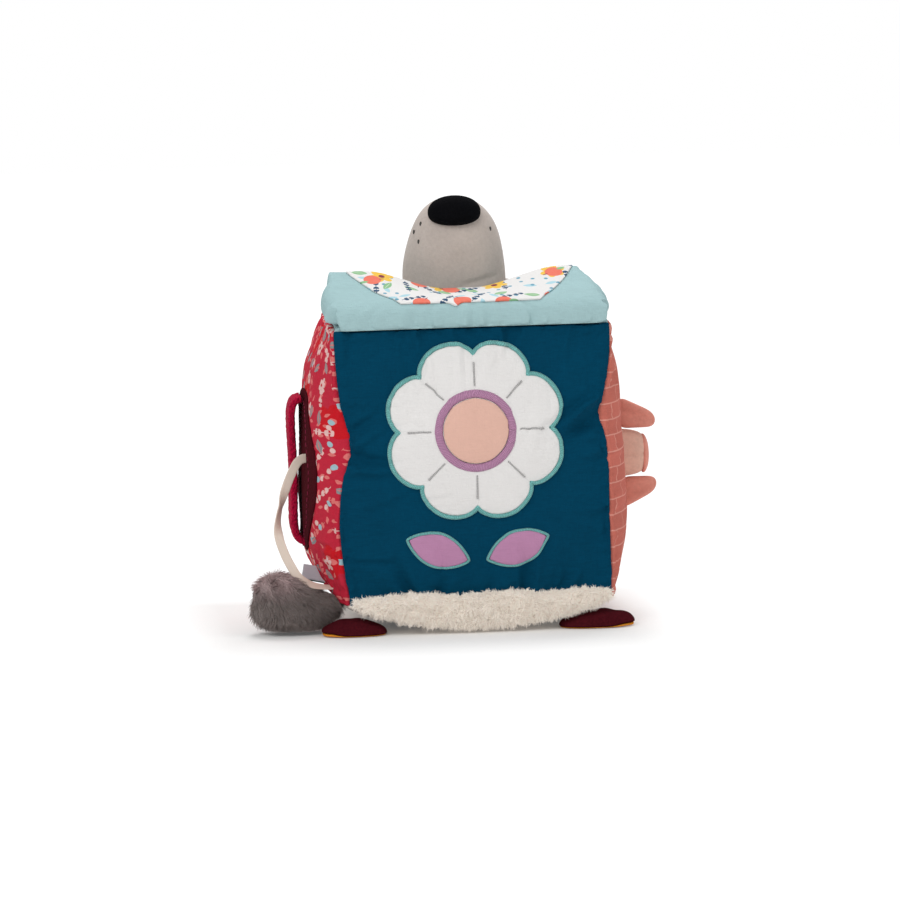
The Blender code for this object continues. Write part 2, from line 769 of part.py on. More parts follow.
def make_ribbon(maker):
    """The satin ribbon, a flat band with rounded edges along its route, its broad face to the front."""
    curve = bpy.data.curves.new("ribbon", "CURVE")
    curve.dimensions = "3D"
    curve.twist_mode = "MINIMUM"
    curve.bevel_depth = RIBBON_THICKNESS / 2
    curve.extrude = (RIBBON_WIDTH - RIBBON_THICKNESS) / 2
    curve.bevel_resolution = 1
    curve.use_fill_caps = True
    points = smooth_route(RIBBON_ROUTE, RIBBON_STEP)
    spline = curve.splines.new("POLY")
    spline.points.add(len(points) - 1)
    for target, point in zip(spline.points, points):
        target.co = (*point, 1)
    obj = bpy.data.objects.new("ribbon", curve)
    mesh_from_curve(obj, material("Cream satin", CREAM_SATIN, 0.4), maker.parts)


def make_tags(maker):
    """Two blank folded tags, one behind the other, that lean back as they leave the left panel."""
    tags = (
        ("light_tag", 1, material("Tag grey", TAG_GREY, 0.7)),
        ("dark_tag", 0, material("Tag green", TAG_GREEN, 0.7)),
    )
    for name, row, finish in tags:
        rest = row * (TAG_THICKNESS + PIECE_GAP)
        low = (-TAG_REACH, -TAG_WIDTH / 2, rest)
        high = (PANEL_THICKNESS, TAG_WIDTH / 2, rest + TAG_THICKNESS)
        tag = box(name, low, high, finish, maker.parts)
        root = Vector((-BLOCK_WIDTH / 2, TAG_MIDDLE, TAG_HEIGHT))
        turn = Matrix.Rotation(TAG_TILT, 4, "Y") @ Matrix.Rotation(TAG_LEAN, 4, "X")
        tag.data.transform(Matrix.Translation(root) @ turn)
        maker.seat_on_block(tag)


def make_tail(maker):
    """A fat teardrop on the floor whose narrow end is hinged at the left panel's lower seam."""
    root = BLOCK_WIDTH / 2 + TAIL_ROOT_GAP

    def tail_point(unit):
        along = (1 - unit.x) / 2
        swell = TAIL_ROOT_SHARE + (1 - TAIL_ROOT_SHARE) * math.sin(min(along * 1.45, 1) * math.pi / 2)
        radius = TAIL_RADIUS * swell
        lying = min(along * 2, 1)
        height = (TAIL_FLOOR_CLEARANCE + radius) * lying + TAIL_ROOT_HEIGHT * (1 - lying)
        return Vector((-root - TAIL_LENGTH * along, TAIL_MIDDLE + unit.y * radius, height + unit.z * radius))

    tail = stuffed_form("tail", tail_point, 0.85, material("Tail fur", TAIL_FUR, 1.0), maker.parts, 24, 16)
    maker.seat_on_block(tail, MOVING_GAP)
    pivot = (-root - TAIL_RADIUS * TAIL_ROOT_SHARE, TAIL_MIDDLE, TAIL_ROOT_HEIGHT)
    hinge("tail_hinge", pivot, (tail,), maker.parts)


def make_feet(maker):
    """Flat stuffed feet under the front corners, toes outwards, each with a felt sole."""
    upper_finish = material("Burgundy felt", BURGUNDY, 0.95)
    sole_finish = material("Orange felt", SOLE_ORANGE, 0.9)
    toe = BLOCK_WIDTH / 2 + FOOT_TOE_OVERHANG
    middle_x = toe - FOOT_LENGTH / 2
    middle_y = BLOCK_FRONT - FOOT_FRONT_OVERHANG + FOOT_DEPTH / 2
    upper_low = SOLE_FLOOR_GAP + SOLE_THICKNESS + PIECE_GAP

    for word, side in (("left", -1), ("right", 1)):

        def upper_point(unit):
            x = side * (middle_x + unit.x * FOOT_LENGTH / 2)
            y = middle_y + unit.y * FOOT_DEPTH / 2
            return Vector((x, y, upper_low + max(unit.z, 0) * FOOT_THICKNESS))

        upper = stuffed_form("foot_" + word, upper_point, 0.8, upper_finish, maker.parts, 24, 12)
        flatten_bottom(upper)
        maker.seat_on_block(upper, MOVING_GAP)
        oval = []
        for x, y in circle(1, 24):
            along = round_power(x, 0.8) * (FOOT_LENGTH / 2 - SOLE_MARGIN)
            across = round_power(y, 0.8) * (FOOT_DEPTH / 2 - SOLE_MARGIN)
            oval.append((side * middle_x + along, middle_y + across))
        sole = extruded_outline(
            "sole_" + word,
            [oval],
            Vector((0, 0, SOLE_FLOOR_GAP + SOLE_THICKNESS / 2)),
            SOLE_THICKNESS / 2,
            Matrix.Identity(4),
            sole_finish,
            maker.parts,
        )
        heel_x = side * (toe - FOOT_LENGTH + FOOT_HEEL_INSET)
        hinge("heel_hinge_" + word, (heel_x, middle_y, upper_low), (upper, sole), maker.parts)


def flatten_bottom(obj):
    """Joins the points that a flattened underside laid on each other, and closes it with one face."""
    bm = bmesh.new()
    bm.from_mesh(obj.data)
    lowest = min(vert.co.z for vert in bm.verts)
    inside = [vert for vert in bm.verts if vert.co.z - lowest < 1e-7]
    rim = [vert for vert in inside if any(edge.other_vert(vert) not in inside for edge in vert.link_edges)]
    bmesh.ops.delete(bm, geom=[vert for vert in inside if vert not in rim], context="VERTS")
    bmesh.ops.holes_fill(bm, edges=[edge for edge in bm.edges if edge.is_boundary])
    bmesh.ops.recalc_face_normals(bm, faces=bm.faces)
    bm.to_mesh(obj.data)
    bm.free()


def make_piglet(maker):
    """A plush stub on the right panel, a disc snout on its end, and an ear above and below it."""
    pink = material("Piglet pink", PIGLET_PINK, 0.95)
    coral = material("Coral plush", CORAL, 0.95)
    face = RIGHT_CREST + PIGLET_HEAD_REACH

    def head_point(unit):
        x = RIGHT_CREST + unit.x * PIGLET_HEAD_REACH
        y = unit.y * PIGLET_HEAD_HALF_DEPTH
        return Vector((x, y, PIGLET_HEIGHT + unit.z * PIGLET_HEAD_HALF_HEIGHT))

    head = stuffed_form("piglet_head", head_point, 0.85, pink, maker.parts, 24, 14)
    maker.seat_on_block(head)
    snout_back = face - SNOUT_SINK
    bm = bmesh.new()
    bmesh.ops.create_cone(
        bm,
        cap_ends=True,
        segments=ROUND_POINTS,
        radius1=SNOUT_RADIUS,
        radius2=SNOUT_RADIUS,
        depth=SNOUT_THICKNESS,
        matrix=Matrix.Translation(Vector((snout_back + SNOUT_THICKNESS / 2, 0, PIGLET_HEIGHT)))
        @ Matrix.Rotation(math.radians(90), 4, "Y"),
    )
    snout = object_from_bmesh("piglet_snout", bm, coral, maker.parts)
    add_bevel(snout, SNOUT_EDGE_RADIUS, 2)
    clear_low = (
        snout_back - PIECE_GAP,
        -SNOUT_RADIUS - CUT_OVERRUN,
        PIGLET_HEIGHT - SNOUT_RADIUS - CUT_OVERRUN,
    )
    clear_high = (
        face + CUT_OVERRUN,
        SNOUT_RADIUS + CUT_OVERRUN,
        PIGLET_HEIGHT + SNOUT_RADIUS + CUT_OVERRUN,
    )
    add_boolean(head, box("cut_snout_space", clear_low, clear_high, None, maker.cutters), "DIFFERENCE")

    inner_edge = PIGLET_HEAD_HALF_HEIGHT + EAR_HEAD_GAP
    for word, side in (("upper", 1), ("lower", -1)):

        def ear_point(unit):
            along = (unit.x + 1) / 2
            half_height = EAR_HALF_HEIGHT * (1 - (1 - EAR_TIP_SHARE) * along)
            filling = EAR_ROOT_THICKNESS_SHARE + (1 - EAR_ROOT_THICKNESS_SHARE) * min(along * 2.5, 1)
            x = RIGHT_CREST - EAR_ROOT_SINK + (EAR_LENGTH + EAR_ROOT_SINK) * along
            z = PIGLET_HEIGHT + side * (inner_edge + half_height) + unit.z * half_height
            return Vector((x, unit.y * EAR_HALF_THICKNESS * filling, z))

        ear = stuffed_form("ear_" + word, ear_point, EAR_SQUARENESS, coral, maker.parts, 20, 12)
        maker.seat_on_block(ear, MOVING_GAP)
        root_x = RIGHT_CREST + EAR_HALF_THICKNESS * EAR_ROOT_THICKNESS_SHARE
        root = (root_x, 0, PIGLET_HEIGHT + side * (inner_edge + EAR_HALF_HEIGHT))
        hinge("ear_hinge_" + word, root, (ear,), maker.parts)


def main():
    clear_scene()
    maker = Maker()
    make_core_and_panels(maker)
    make_sherpa_trim(maker)
    make_applique(maker)
    make_quilt(maker)
    make_head(maker)
    make_strap(maker)
    make_ribbon(maker)
    make_tags(maker)
    make_tail(maker)
    make_feet(maker)
    make_piglet(maker)
    bpy.context.view_layer.update()


main()
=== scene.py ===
"""Dresses the soft fabric block in its cloths: padded printed panels, a daisy sewn on the front, a quilt,
plush, fleece, fur, felt, terry and satin. Metres, +Z up, the front faces -Y.
"""

import functools
import math

import bmesh
import bpy
import numpy as np
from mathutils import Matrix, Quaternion, Vector


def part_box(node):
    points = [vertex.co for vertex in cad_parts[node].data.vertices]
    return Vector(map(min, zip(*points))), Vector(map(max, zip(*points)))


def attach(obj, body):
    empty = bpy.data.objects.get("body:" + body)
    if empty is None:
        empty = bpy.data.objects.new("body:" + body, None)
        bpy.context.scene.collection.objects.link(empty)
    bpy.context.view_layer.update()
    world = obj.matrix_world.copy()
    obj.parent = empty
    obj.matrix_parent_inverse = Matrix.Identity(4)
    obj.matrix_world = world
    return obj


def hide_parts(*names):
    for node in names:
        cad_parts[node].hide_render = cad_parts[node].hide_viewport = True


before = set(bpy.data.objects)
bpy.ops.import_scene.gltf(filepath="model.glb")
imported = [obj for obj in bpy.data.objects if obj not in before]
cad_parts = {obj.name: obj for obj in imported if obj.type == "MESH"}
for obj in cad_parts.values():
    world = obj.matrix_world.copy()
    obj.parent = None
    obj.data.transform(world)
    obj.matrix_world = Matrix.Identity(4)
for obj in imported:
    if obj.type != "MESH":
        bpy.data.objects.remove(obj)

bl_info = {
    "name": "Soft Fabric Block",
    "version": (1, 0, 0),
    "blender": (4, 5, 0),
    "location": "View3D > Sidebar > Fabric Block",
    "description": "Sews the cloths of a soft fabric block over its solid frame",
    "category": "Add Mesh",
}

# Reading the frame

def box_corners(node):
    """The lowest and the highest corner of a solid's box."""
    return [np.array(corner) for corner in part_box(node)]


def middle_and_half(low, high):
    return (low + high) / 2, (high - low) / 2


# The block as its frame gives it, measured at the seams
FRONT_LOW, FRONT_HIGH = box_corners("front_panel")
_, LEFT_HIGH = box_corners("left_panel")
SEAM_GAP = 0.0002
SEAM_PROUD = 0.0006
HALF_WIDTH = FRONT_HIGH[0] + SEAM_GAP + SEAM_PROUD
HALF_DEPTH = LEFT_HIGH[1] + SEAM_GAP
BASE_SEAM = FRONT_LOW[2] - SEAM_GAP
TOP_SEAM = FRONT_HIGH[2] + SEAM_GAP
HALF_HEIGHT = (TOP_SEAM - BASE_SEAM) / 2
MIDDLE = (TOP_SEAM + BASE_SEAM) / 2
HALF_BLOCK = np.array((HALF_WIDTH, HALF_DEPTH, HALF_HEIGHT))

# Each face: the axis that it looks along and which way, the axes that run across and up it, and its bulge
FACES = {
    "front": (1, -1, 0, 2, 0.010),
    "back": (1, 1, 0, 2, 0.010),
    "left": (0, -1, 1, 2, 0.0170),
    "right": (0, 1, 1, 2, 0.0150),
    "top": (2, 1, 0, 1, 0.008),
    "base": (2, -1, 0, 1, BASE_SEAM + 0.0005),
}
SIDE_CROWN_POWER = 2.8
SIDE_EASE_SHARE = 0.6
SIDE_EASE_START = 0.6
LOW_SWELL_SHARE = 0.20
EDGE_ROUND = 0.0032
REAR_CORNER_DRAW = 0.0105
PANEL_DEPTH = 0.0050
SKIN_GAP = 0.0003

# The ribbon's route, from the felt patch down to the left panel's lower seam,
# through the fur at the tail's root
RIBBON_ROUTE = (
    (-0.1057, -0.034, 0.1127),
    (-0.1105, -0.035, 0.1122),
    (-0.1145, -0.036, 0.1085),
    (-0.1200, -0.038, 0.0975),
    (-0.1248, -0.042, 0.0850),
    (-0.1280, -0.047, 0.0725),
    (-0.1278, -0.053, 0.0620),
    (-0.1248, -0.061, 0.0520),
    (-0.1212, -0.066, 0.0445),
    (-0.1172, -0.069, 0.0380),
    (-0.1120, -0.069, 0.0342),
    (-0.1040, -0.067, 0.0312),
    (-0.0914, -0.064, 0.0294),
)

# The sewn skins that later pieces lie on, filled in as the panels are made
skins = {}


# Colours and sizes that a user would change

def colour_setting(name, description, value):
    return bpy.props.FloatVectorProperty(
        name=name, description=description, default=value, subtype="COLOR", size=3, min=0, max=1
    )


def length_setting(name, description, value):
    return bpy.props.FloatProperty(
        name=name, description=description, default=value, min=0, subtype="DISTANCE", unit="LENGTH"
    )


class BlockColours(bpy.types.PropertyGroup):
    """The dye of each cloth, as linear colours."""

    petrol: colour_setting("Petrol", "Front and back panel cotton", (0.0006, 0.048, 0.098))
    aqua: colour_setting("Aqua", "Quilt and top panel muslin", (0.360, 0.528, 0.545))
    red: colour_setting("Red", "Ground of the left panel's print", (0.560, 0.022, 0.050))
    coral: colour_setting("Coral", "Bricks of the right panel", (0.590, 0.165, 0.125))
    mortar: colour_setting("Mortar", "Lines between the bricks", (0.760, 0.340, 0.280))
    white: colour_setting("White", "Petals and the ground of the quilt's print", (0.775, 0.760, 0.750))
    peach: colour_setting("Peach", "Middle of the flower", (0.740, 0.460, 0.375))
    mauve: colour_setting("Mauve", "Ring of the flower and the leaves", (0.490, 0.240, 0.400))
    teal: colour_setting("Teal", "Satin-stitched edging", (0.160, 0.460, 0.440))
    fleece: colour_setting("Fleece", "Sherpa trim and base", (0.840, 0.775, 0.700))
    plush: colour_setting("Plush", "Muzzle and head pad", (0.510, 0.445, 0.405))
    velour: colour_setting("Velour", "Nose", (0.004, 0.004, 0.005))
    crimson: colour_setting("Crimson", "Terry of the hand strap", (0.480, 0.008, 0.048))
    burgundy: colour_setting("Burgundy", "Felt patch and feet", (0.062, 0.006, 0.010))
    satin: colour_setting("Satin", "Ribbon", (0.700, 0.590, 0.500))
    fur: colour_setting("Fur", "Tail", (0.240, 0.200, 0.188))
    orange: colour_setting("Orange", "Soles", (0.760, 0.280, 0.030))
    pink: colour_setting("Pink", "Piglet head", (0.740, 0.455, 0.360))
    ear: colour_setting("Ear", "Piglet ears and snout", (0.740, 0.300, 0.235))
    light_tag: colour_setting("Light tag", "Upper tag", (0.520, 0.540, 0.590))
    dark_tag: colour_setting("Dark tag", "Lower tag", (0.020, 0.100, 0.070))


class BlockSizes(bpy.types.PropertyGroup):
    """The sizes of the sewing and of the pile."""

    pucker: length_setting("Pucker", "Height of the gathers along the seams", 0.0011)
    crease: length_setting("Crease", "Height of the soft creases in the padded cloth", 0.0007)
    fleece_pile: length_setting("Fleece pile", "Length of the sherpa's curls", 0.0042)
    fur_pile: length_setting("Fur pile", "Length of the tail's hair", 0.0085)
    ribbon_width: length_setting("Ribbon width", "Width of the satin ribbon", 0.006)
    ribbon_thickness: length_setting("Ribbon thickness", "Thickness of the satin ribbon", 0.0009)
    stitch_width: length_setting("Stitch width", "Width of the flower's satin stitch", 0.0030)


def colours():
    return bpy.context.scene.fabric_block_colours


def sizes():
    return bpy.context.scene.fabric_block_sizes


# Shader maths

class Thread:
    """A socket in a material's nodes. Sums, products and the like of threads add Math nodes."""

    def __init__(self, loom, socket):
        self.loom = loom
        self.socket = socket

    def other(self, index):
        return Thread(self.loom, self.socket.node.outputs[index])

    def math(self, operation, *others, clamp=False):
        settings = {"operation": operation, "use_clamp": clamp}
        return self.loom.node("ShaderNodeMath", settings, dict(enumerate((self, *others))))

    def __rsub__(self, other):
        return self.loom.node("ShaderNodeMath", {"operation": "SUBTRACT"}, {0: other, 1: self})

    __add__ = __radd__ = functools.partialmethod(math, "ADD")
    __sub__ = functools.partialmethod(math, "SUBTRACT")
    __mul__ = __rmul__ = functools.partialmethod(math, "MULTIPLY")
    __truediv__ = functools.partialmethod(math, "DIVIDE")
    __neg__ = functools.partialmethod(math, "MULTIPLY", -1.0)
    __abs__ = functools.partialmethod(math, "ABSOLUTE")
    __lt__ = functools.partialmethod(math, "LESS_THAN")
    __gt__ = functools.partialmethod(math, "GREATER_THAN")
    clamped = functools.partialmethod(math, "ADD", 0.0, clamp=True)

    def within(self, soft):
        """1 where this distance is below 0 and 0 where it is above, over a soft edge."""
        return (0.5 - self / soft).clamped()


class Loom:
    """One material and the nodes that its cloth is woven from."""

    def __init__(self, name):
        self.material = bpy.data.materials.new(name)
        self.material.use_nodes = True
        self.tree = self.material.node_tree
        self.shader = self.tree.nodes["Principled BSDF"]

    def node(self, kind, settings=None, values=None, output=0):
        """Adds any node: its settings first, a ramp's stops too, and then its sockets' values or links."""
        made = self.tree.nodes.new(kind)
        for key, value in (settings or {}).items():
            if key == "stops":
                for stop, (place, colour) in zip(made.color_ramp.elements, value):
                    stop.position = place
                    stop.color = colour
            else:
                setattr(made, key, value)
        for key, value in (values or {}).items():
            if isinstance(value, Thread):
                self.tree.links.new(value.socket, made.inputs[key])
            else:
                made.inputs[key].default_value = value
        return Thread(self, made.outputs[output])

    def mix(self, share, a, b):
        return self.node("ShaderNodeMix", {"data_type": "RGBA"}, {0: share, 6: solid(a), 7: solid(b)}, 2)

    def shades(self, share, colour, low, high):
        """From the colour's darker shade to its lighter one."""
        return self.mix(share, tint(colour, low), tint(colour, high))

    def place(self):
        return self.node("ShaderNodeTexCoord").other(3)

    def along(self):
        """The piece's own cloth coordinates, in metres along and across it."""
        return self.node("ShaderNodeUVMap", {"uv_map": "cloth"})

    def stretch(self, vector, x, y, z):
        values = {"Vector": vector, "Scale": (x, y, z)}
        return self.node("ShaderNodeMapping", None, values)

    def vector(self, operation, *values):
        return self.node("ShaderNodeVectorMath", {"operation": operation}, dict(enumerate(values)))

    def noise(self, vector, scale, detail=2.0, roughness=0.5):
        values = {"Vector": vector, "Scale": scale, "Detail": detail, "Roughness": roughness}
        return self.node("ShaderNodeTexNoise", None, values)

    def split(self, vector):
        x = self.node("ShaderNodeSeparateXYZ", None, {0: vector})
        return x, x.other(1), x.other(2)

    def join(self, x, y, z=0.0):
        return self.node("ShaderNodeCombineXYZ", None, {0: x, 1: y, 2: z})

    def bump(self, height, depth, strength=1.0):
        values = {"Height": height, "Distance": depth, "Strength": strength}
        return self.node("ShaderNodeBump", None, values)

    def finish(self, colour, roughness, normal=None, sheen=0.0, specular=0.2):
        """Wires the cloth's colour, roughness and relief, and sets what is the same all over it."""
        for name, value in (("Base Color", colour), ("Roughness", roughness), ("Normal", normal)):
            if isinstance(value, Thread):
                self.tree.links.new(value.socket, self.shader.inputs[name])
            elif value is not None:
                self.shader.inputs[name].default_value = solid(value) if name == "Base Color" else value
        self.shader.inputs["Sheen Weight"].default_value = sheen
        self.shader.inputs["Sheen Roughness"].default_value = 0.4
        self.shader.inputs["Specular IOR Level"].default_value = specular
        return self.material


def solid(colour):
    """A colour with its alpha, or the thread that carries one."""
    if isinstance(colour, Thread):
        return colour
    return (*colour[:3], 1.0)


def tint(colour, share):
    return tuple(min(value * share, 1.0) for value in colour[:3])


def made_once(weave):
    """A cloth is woven once: the next piece that asks for it by name gets the same material."""

    @functools.wraps(weave)
    def dyed(name, *args, **settings):
        return bpy.data.materials.get(name) or weave(Loom(name), *args, **settings)

    return dyed


# Cloths

# How the weft and the warp are stretched, and the scale of the yarns' grain
PLAIN_WEAVE = ((160, 160, 1300), (1300, 1300, 140), 1900)
MUSLIN_WEAVE = ((160, 900, 900), (1300, 140, 140), 1700)


def woven(loom, across, up, away):
    """The relief of a plain weave: slubs along the weft, finer ones along the warp, and the yarns' grain."""
    place = loom.place()
    weft = loom.noise(loom.stretch(place, *across), 1.0, 3.0)
    warp = loom.noise(loom.stretch(place, *up), 1.0, 2.0)
    grain = loom.noise(place, away, 2.0)
    return weft * 0.5 + warp * 0.3 + grain * 0.2


@made_once
def cotton(loom, colour, relief=0.0012, contrast=0.22):
    """Plain cotton whose weft and warp slubs vary its shade, with slow patches as a padded cloth shows."""
    weave = woven(loom, *PLAIN_WEAVE)
    patches = loom.noise(loom.place(), 28, 2.0)
    shade = (weave - 0.5) * 1.5 + (patches - 0.5) * 0.5 + 0.5
    paint = loom.shades(shade, colour, 1 - contrast, 1 + contrast)
    return loom.finish(paint, 0.85 + (patches - 0.5) * 0.1, loom.bump(weave, relief, 0.6), 0.0, 0.04)


@made_once
def plush(loom, colour, nap=420, contrast=0.16, relief=0.0006, sheen=0.2):
    """Short pile: the nap lies this way and that in patches, over a fine grain."""
    place = loom.place()
    patches = loom.noise(place, 55, 3.0, 0.6)
    grain = loom.noise(place, nap, 3.0, 0.7)
    shade = (patches - 0.5) * 0.8 + (grain - 0.5) * 1.0 + 0.5
    paint = loom.shades(shade, colour, 1 - contrast, 1 + contrast)
    return loom.finish(paint, 0.95, loom.bump(grain + patches * 0.6, relief, 0.7), sheen, 0.02)


@made_once
def felt(loom, colour, contrast=0.35):
    """Pressed fibres: a fine tangle with lighter flecks."""
    place = loom.place()
    tangle = loom.noise(place, 600, 4.0, 0.75)
    flecks = loom.noise(place, 1500, 1.0) > 0.66
    shade = (tangle - 0.5) * 1.8 + 0.45 + flecks * 0.35
    paint = loom.shades(shade, colour, 1 - contrast, 1 + contrast)
    return loom.finish(paint, 0.95, loom.bump(tangle, 0.0006, 0.8), 0.0, 0.02)


@made_once
def terry(loom, colour):
    """Looped towelling: rounded loops in rows, darker between them, which is painted shade in the hollows."""
    place = loom.place()
    loops = loom.node("ShaderNodeTexVoronoi", {"feature": "F1"}, {"Vector": place, "Scale": 620.0})
    height = 1.0 - loops * 1.1 + loom.noise(place, 1400, 2.0) * 0.4
    # Painted shade: the paint is darker where the loops are low
    paint = loom.shades(height * 0.75, colour, 0.55, 1.25)
    return loom.finish(paint, 0.95, loom.bump(height, 0.0010, 0.9), 0.05, 0.02)


@made_once
def satin(loom, colour):
    """Satin weave: long floats along the band, with a soft shine."""
    floats = loom.noise(loom.stretch(loom.along(), 90, 3200, 1), 1.0, 2.0)
    paint = loom.shades(floats, colour, 0.88, 1.08)
    return loom.finish(paint, 0.42 + floats * 0.12, loom.bump(floats, 0.0003, 0.5), 0.25, 0.4)


@made_once
def stitching(loom, colour, pitch=0.0011):
    """Satin stitch: thread after thread laid across the edge, each a rounded ridge."""
    along, across, _ = loom.split(loom.along())
    slant = along + across * 0.35
    ridge = (slant * (2 * math.pi / pitch)).math("SINE") * 0.5 + 0.5
    wobble = loom.noise(loom.place(), 700, 2.0)
    # The paint follows the ridges: painted shade between the threads and painted highlight on their crowns
    paint = loom.shades(ridge * 0.7 + wobble * 0.4 - 0.05, colour, 0.72, 1.30)
    return loom.finish(paint, 0.55, loom.bump(ridge + wobble * 0.3, 0.0006, 0.8), 0.3, 0.3)


# Where the tail's painted highlight starts, and over what length it grows: upwards, and out to the left
HIGHLIGHT_UP = (0.021, 0.014)
HIGHLIGHT_OUT = (0.108, 0.016)


@made_once
def pile(loom, root, tip, patches_scale=60, glow=0.0, painted_highlight=None):
    """Hair or curls: dark at the root and light at the tip, varied from tuft to tuft. Pale pile scatters
    light within itself, which the glow stands for as painted light, and a painted highlight tints its
    upper side.
    """
    along = loom.node("ShaderNodeAttribute", {"attribute_name": "along"}, output=2)
    tufts = loom.noise(loom.place(), patches_scale, 3.0, 0.6)
    shade = (along * 0.85 + (tufts - 0.5) * 0.9).math("ADD", 0.05, clamp=True)
    paint = loom.mix(shade, root, tip)
    # Painted highlight: the upper side towards the left is mixed towards a lighter colour
    if painted_highlight:
        x, _, z = loom.split(loom.place())
        above = ((z - HIGHLIGHT_UP[0]) / HIGHLIGHT_UP[1]).clamped() * ((-HIGHLIGHT_OUT[0] - x) / HIGHLIGHT_OUT[1]).clamped()
        paint = loom.mix(above * 0.85, paint, painted_highlight)
    # Painted light: the pile glows with its own paint, as strong as the glow
    loom.tree.links.new(paint.socket, loom.shader.inputs["Emission Color"])
    loom.shader.inputs["Emission Strength"].default_value = glow
    return loom.finish(paint, 0.9, None, 0.3, 0.08)


# Prints, whose motifs are scattered on a lattice, each turned and shifted at random

class Scatter:
    """Local coordinates round the nearest motif, in metres, and that motif's own chance from 0 to 1."""

    def __init__(self, loom, flat, pitch, seed, jitter):
        start = (seed * 7.31, seed * 3.77, 0.0)
        scaled = loom.vector("MULTIPLY_ADD", flat, (1 / pitch, 1 / pitch, 0.0), start)
        cell = loom.vector("FLOOR", scaled)
        luck = loom.node("ShaderNodeTexWhiteNoise", {"noise_dimensions": "3D"}, {"Vector": cell})
        own = loom.vector("SUBTRACT", scaled, cell)
        shifted = loom.vector("MULTIPLY_ADD", luck.other(1), (-jitter, -jitter, 0.0), own)
        centred = loom.vector("SUBTRACT", shifted, (0.5 - jitter / 2, 0.5 - jitter / 2, 0.0))
        whole_turn = {"Vector": centred, "Angle": luck * (2 * math.pi)}
        turned = loom.node("ShaderNodeVectorRotate", {"rotation_type": "Z_AXIS"}, whole_turn)
        x, y, _ = loom.split(turned)
        self.x = x * pitch
        self.y = y * pitch
        self.chance = loom.split(luck.other(1))[2]

    def reach(self, x=0.0, y=0.0):
        """Distance from the point x, y of the motif."""
        across = self.x - x
        up = self.y - y
        return (across * across + up * up).math("SQRT")

    def disc(self, radius, x=0.0, y=0.0):
        return self.reach(x, y) - radius

    def leaf(self, half_length, half_width, x=0.0, y=0.0):
        """A pointed leaf along the motif's own x: its width falls off as a parabola."""
        share = (self.x - x) / half_length
        return abs(self.y - y) - (1.0 - share * share) * half_width

    def sprig(self, half_length, step, leaf_length, leaf_width):
        """A stem along x with slanted leaves in pairs, which repeat every step and stop at the ends."""
        folded = self.x.math("PINGPONG", step)
        side = abs(self.y)
        along = (folded + side) * math.sqrt(0.5) - leaf_length
        across = (side - folded) * math.sqrt(0.5) + step * 0.3
        share = along / leaf_length
        leaves = abs(across) - (1.0 - share * share) * leaf_width
        stem = side - leaf_width * 0.22
        shape = leaves.math("MINIMUM", stem)
        return shape.math("MAXIMUM", abs(self.x) - half_length)

    def flower(self, radius, petals, depth=0.35):
        """Round petals: the radius rises and falls with the angle."""
        angle = self.y.math("ARCTAN2", self.x)
        wave = abs((angle * (petals / 2)).math("COSINE"))
        return self.reach() - (wave * depth + (1 - depth)) * radius

    def rarely(self, low, high):
        """1 for the motifs whose chance lies between low and high."""
        return (self.chance > low) * (self.chance < high)


# The prints' inks, as linear colours
ROSE = (0.78, 0.20, 0.19)
BLUSH = (0.83, 0.55, 0.52)
SLATE = (0.26, 0.30, 0.31)
SCARLET = (0.62, 0.010, 0.018)
BERRY_BLUE = (0.36, 0.56, 0.62)
FRUIT_RED = (0.80, 0.17, 0.11)
LEAF_GREEN = (0.24, 0.48, 0.24)
VEIN_GREEN = (0.55, 0.70, 0.50)
NAVY = (0.012, 0.060, 0.140)
YELLOW = (0.84, 0.52, 0.06)
SKY = (0.40, 0.64, 0.72)
DOT_BLUE = (0.12, 0.34, 0.46)
WINE = (0.22, 0.02, 0.05)
INK_EDGE = 0.00025

# Each scatter of motifs: its pitch, seed and jitter, and what is stamped there: a shape, its measures, its
# ink, and the chances between which a motif has it
TWIG = (0.0105, 0.0046, 0.0021, 0.0013)
RED_SCATTERS = (
    (0.0500, 2.0, 0.35, (
        ("flower", (0.0120, 5), SCARLET, 0.0, 0.60),
        ("disc", (0.0020,), ROSE, 0.0, 0.60),
    )),
    (0.0088, 5.0, 0.50, (
        ("leaf", (0.0027, 0.0011), ROSE, 0.0, 0.85),
    )),
    (0.0240, 1.0, 0.40, (
        ("sprig", TWIG, ROSE, 0.0, 0.60),
        ("sprig", TWIG, BLUSH, 0.60, 0.95),
    )),
    (0.0200, 3.0, 0.40, (
        ("flower", (0.0049, 5, 0.45), BLUSH, 0.0, 0.50),
        ("disc", (0.0011,), SCARLET, 0.0, 0.50),
    )),
    (0.0170, 4.0, 0.50, (
        ("leaf", (0.0050, 0.0023), SLATE, 0.0, 0.58),
        ("leaf", (0.0044, 0.0004), ROSE, 0.0, 0.58),
    )),
    (0.0125, 6.0, 0.50, (
        ("disc", (0.0020, 0.0019), BERRY_BLUE, 0.0, 0.36),
        ("disc", (0.0018, -0.0022, 0.0012), BLUSH, 0.0, 0.36),
    )),
)
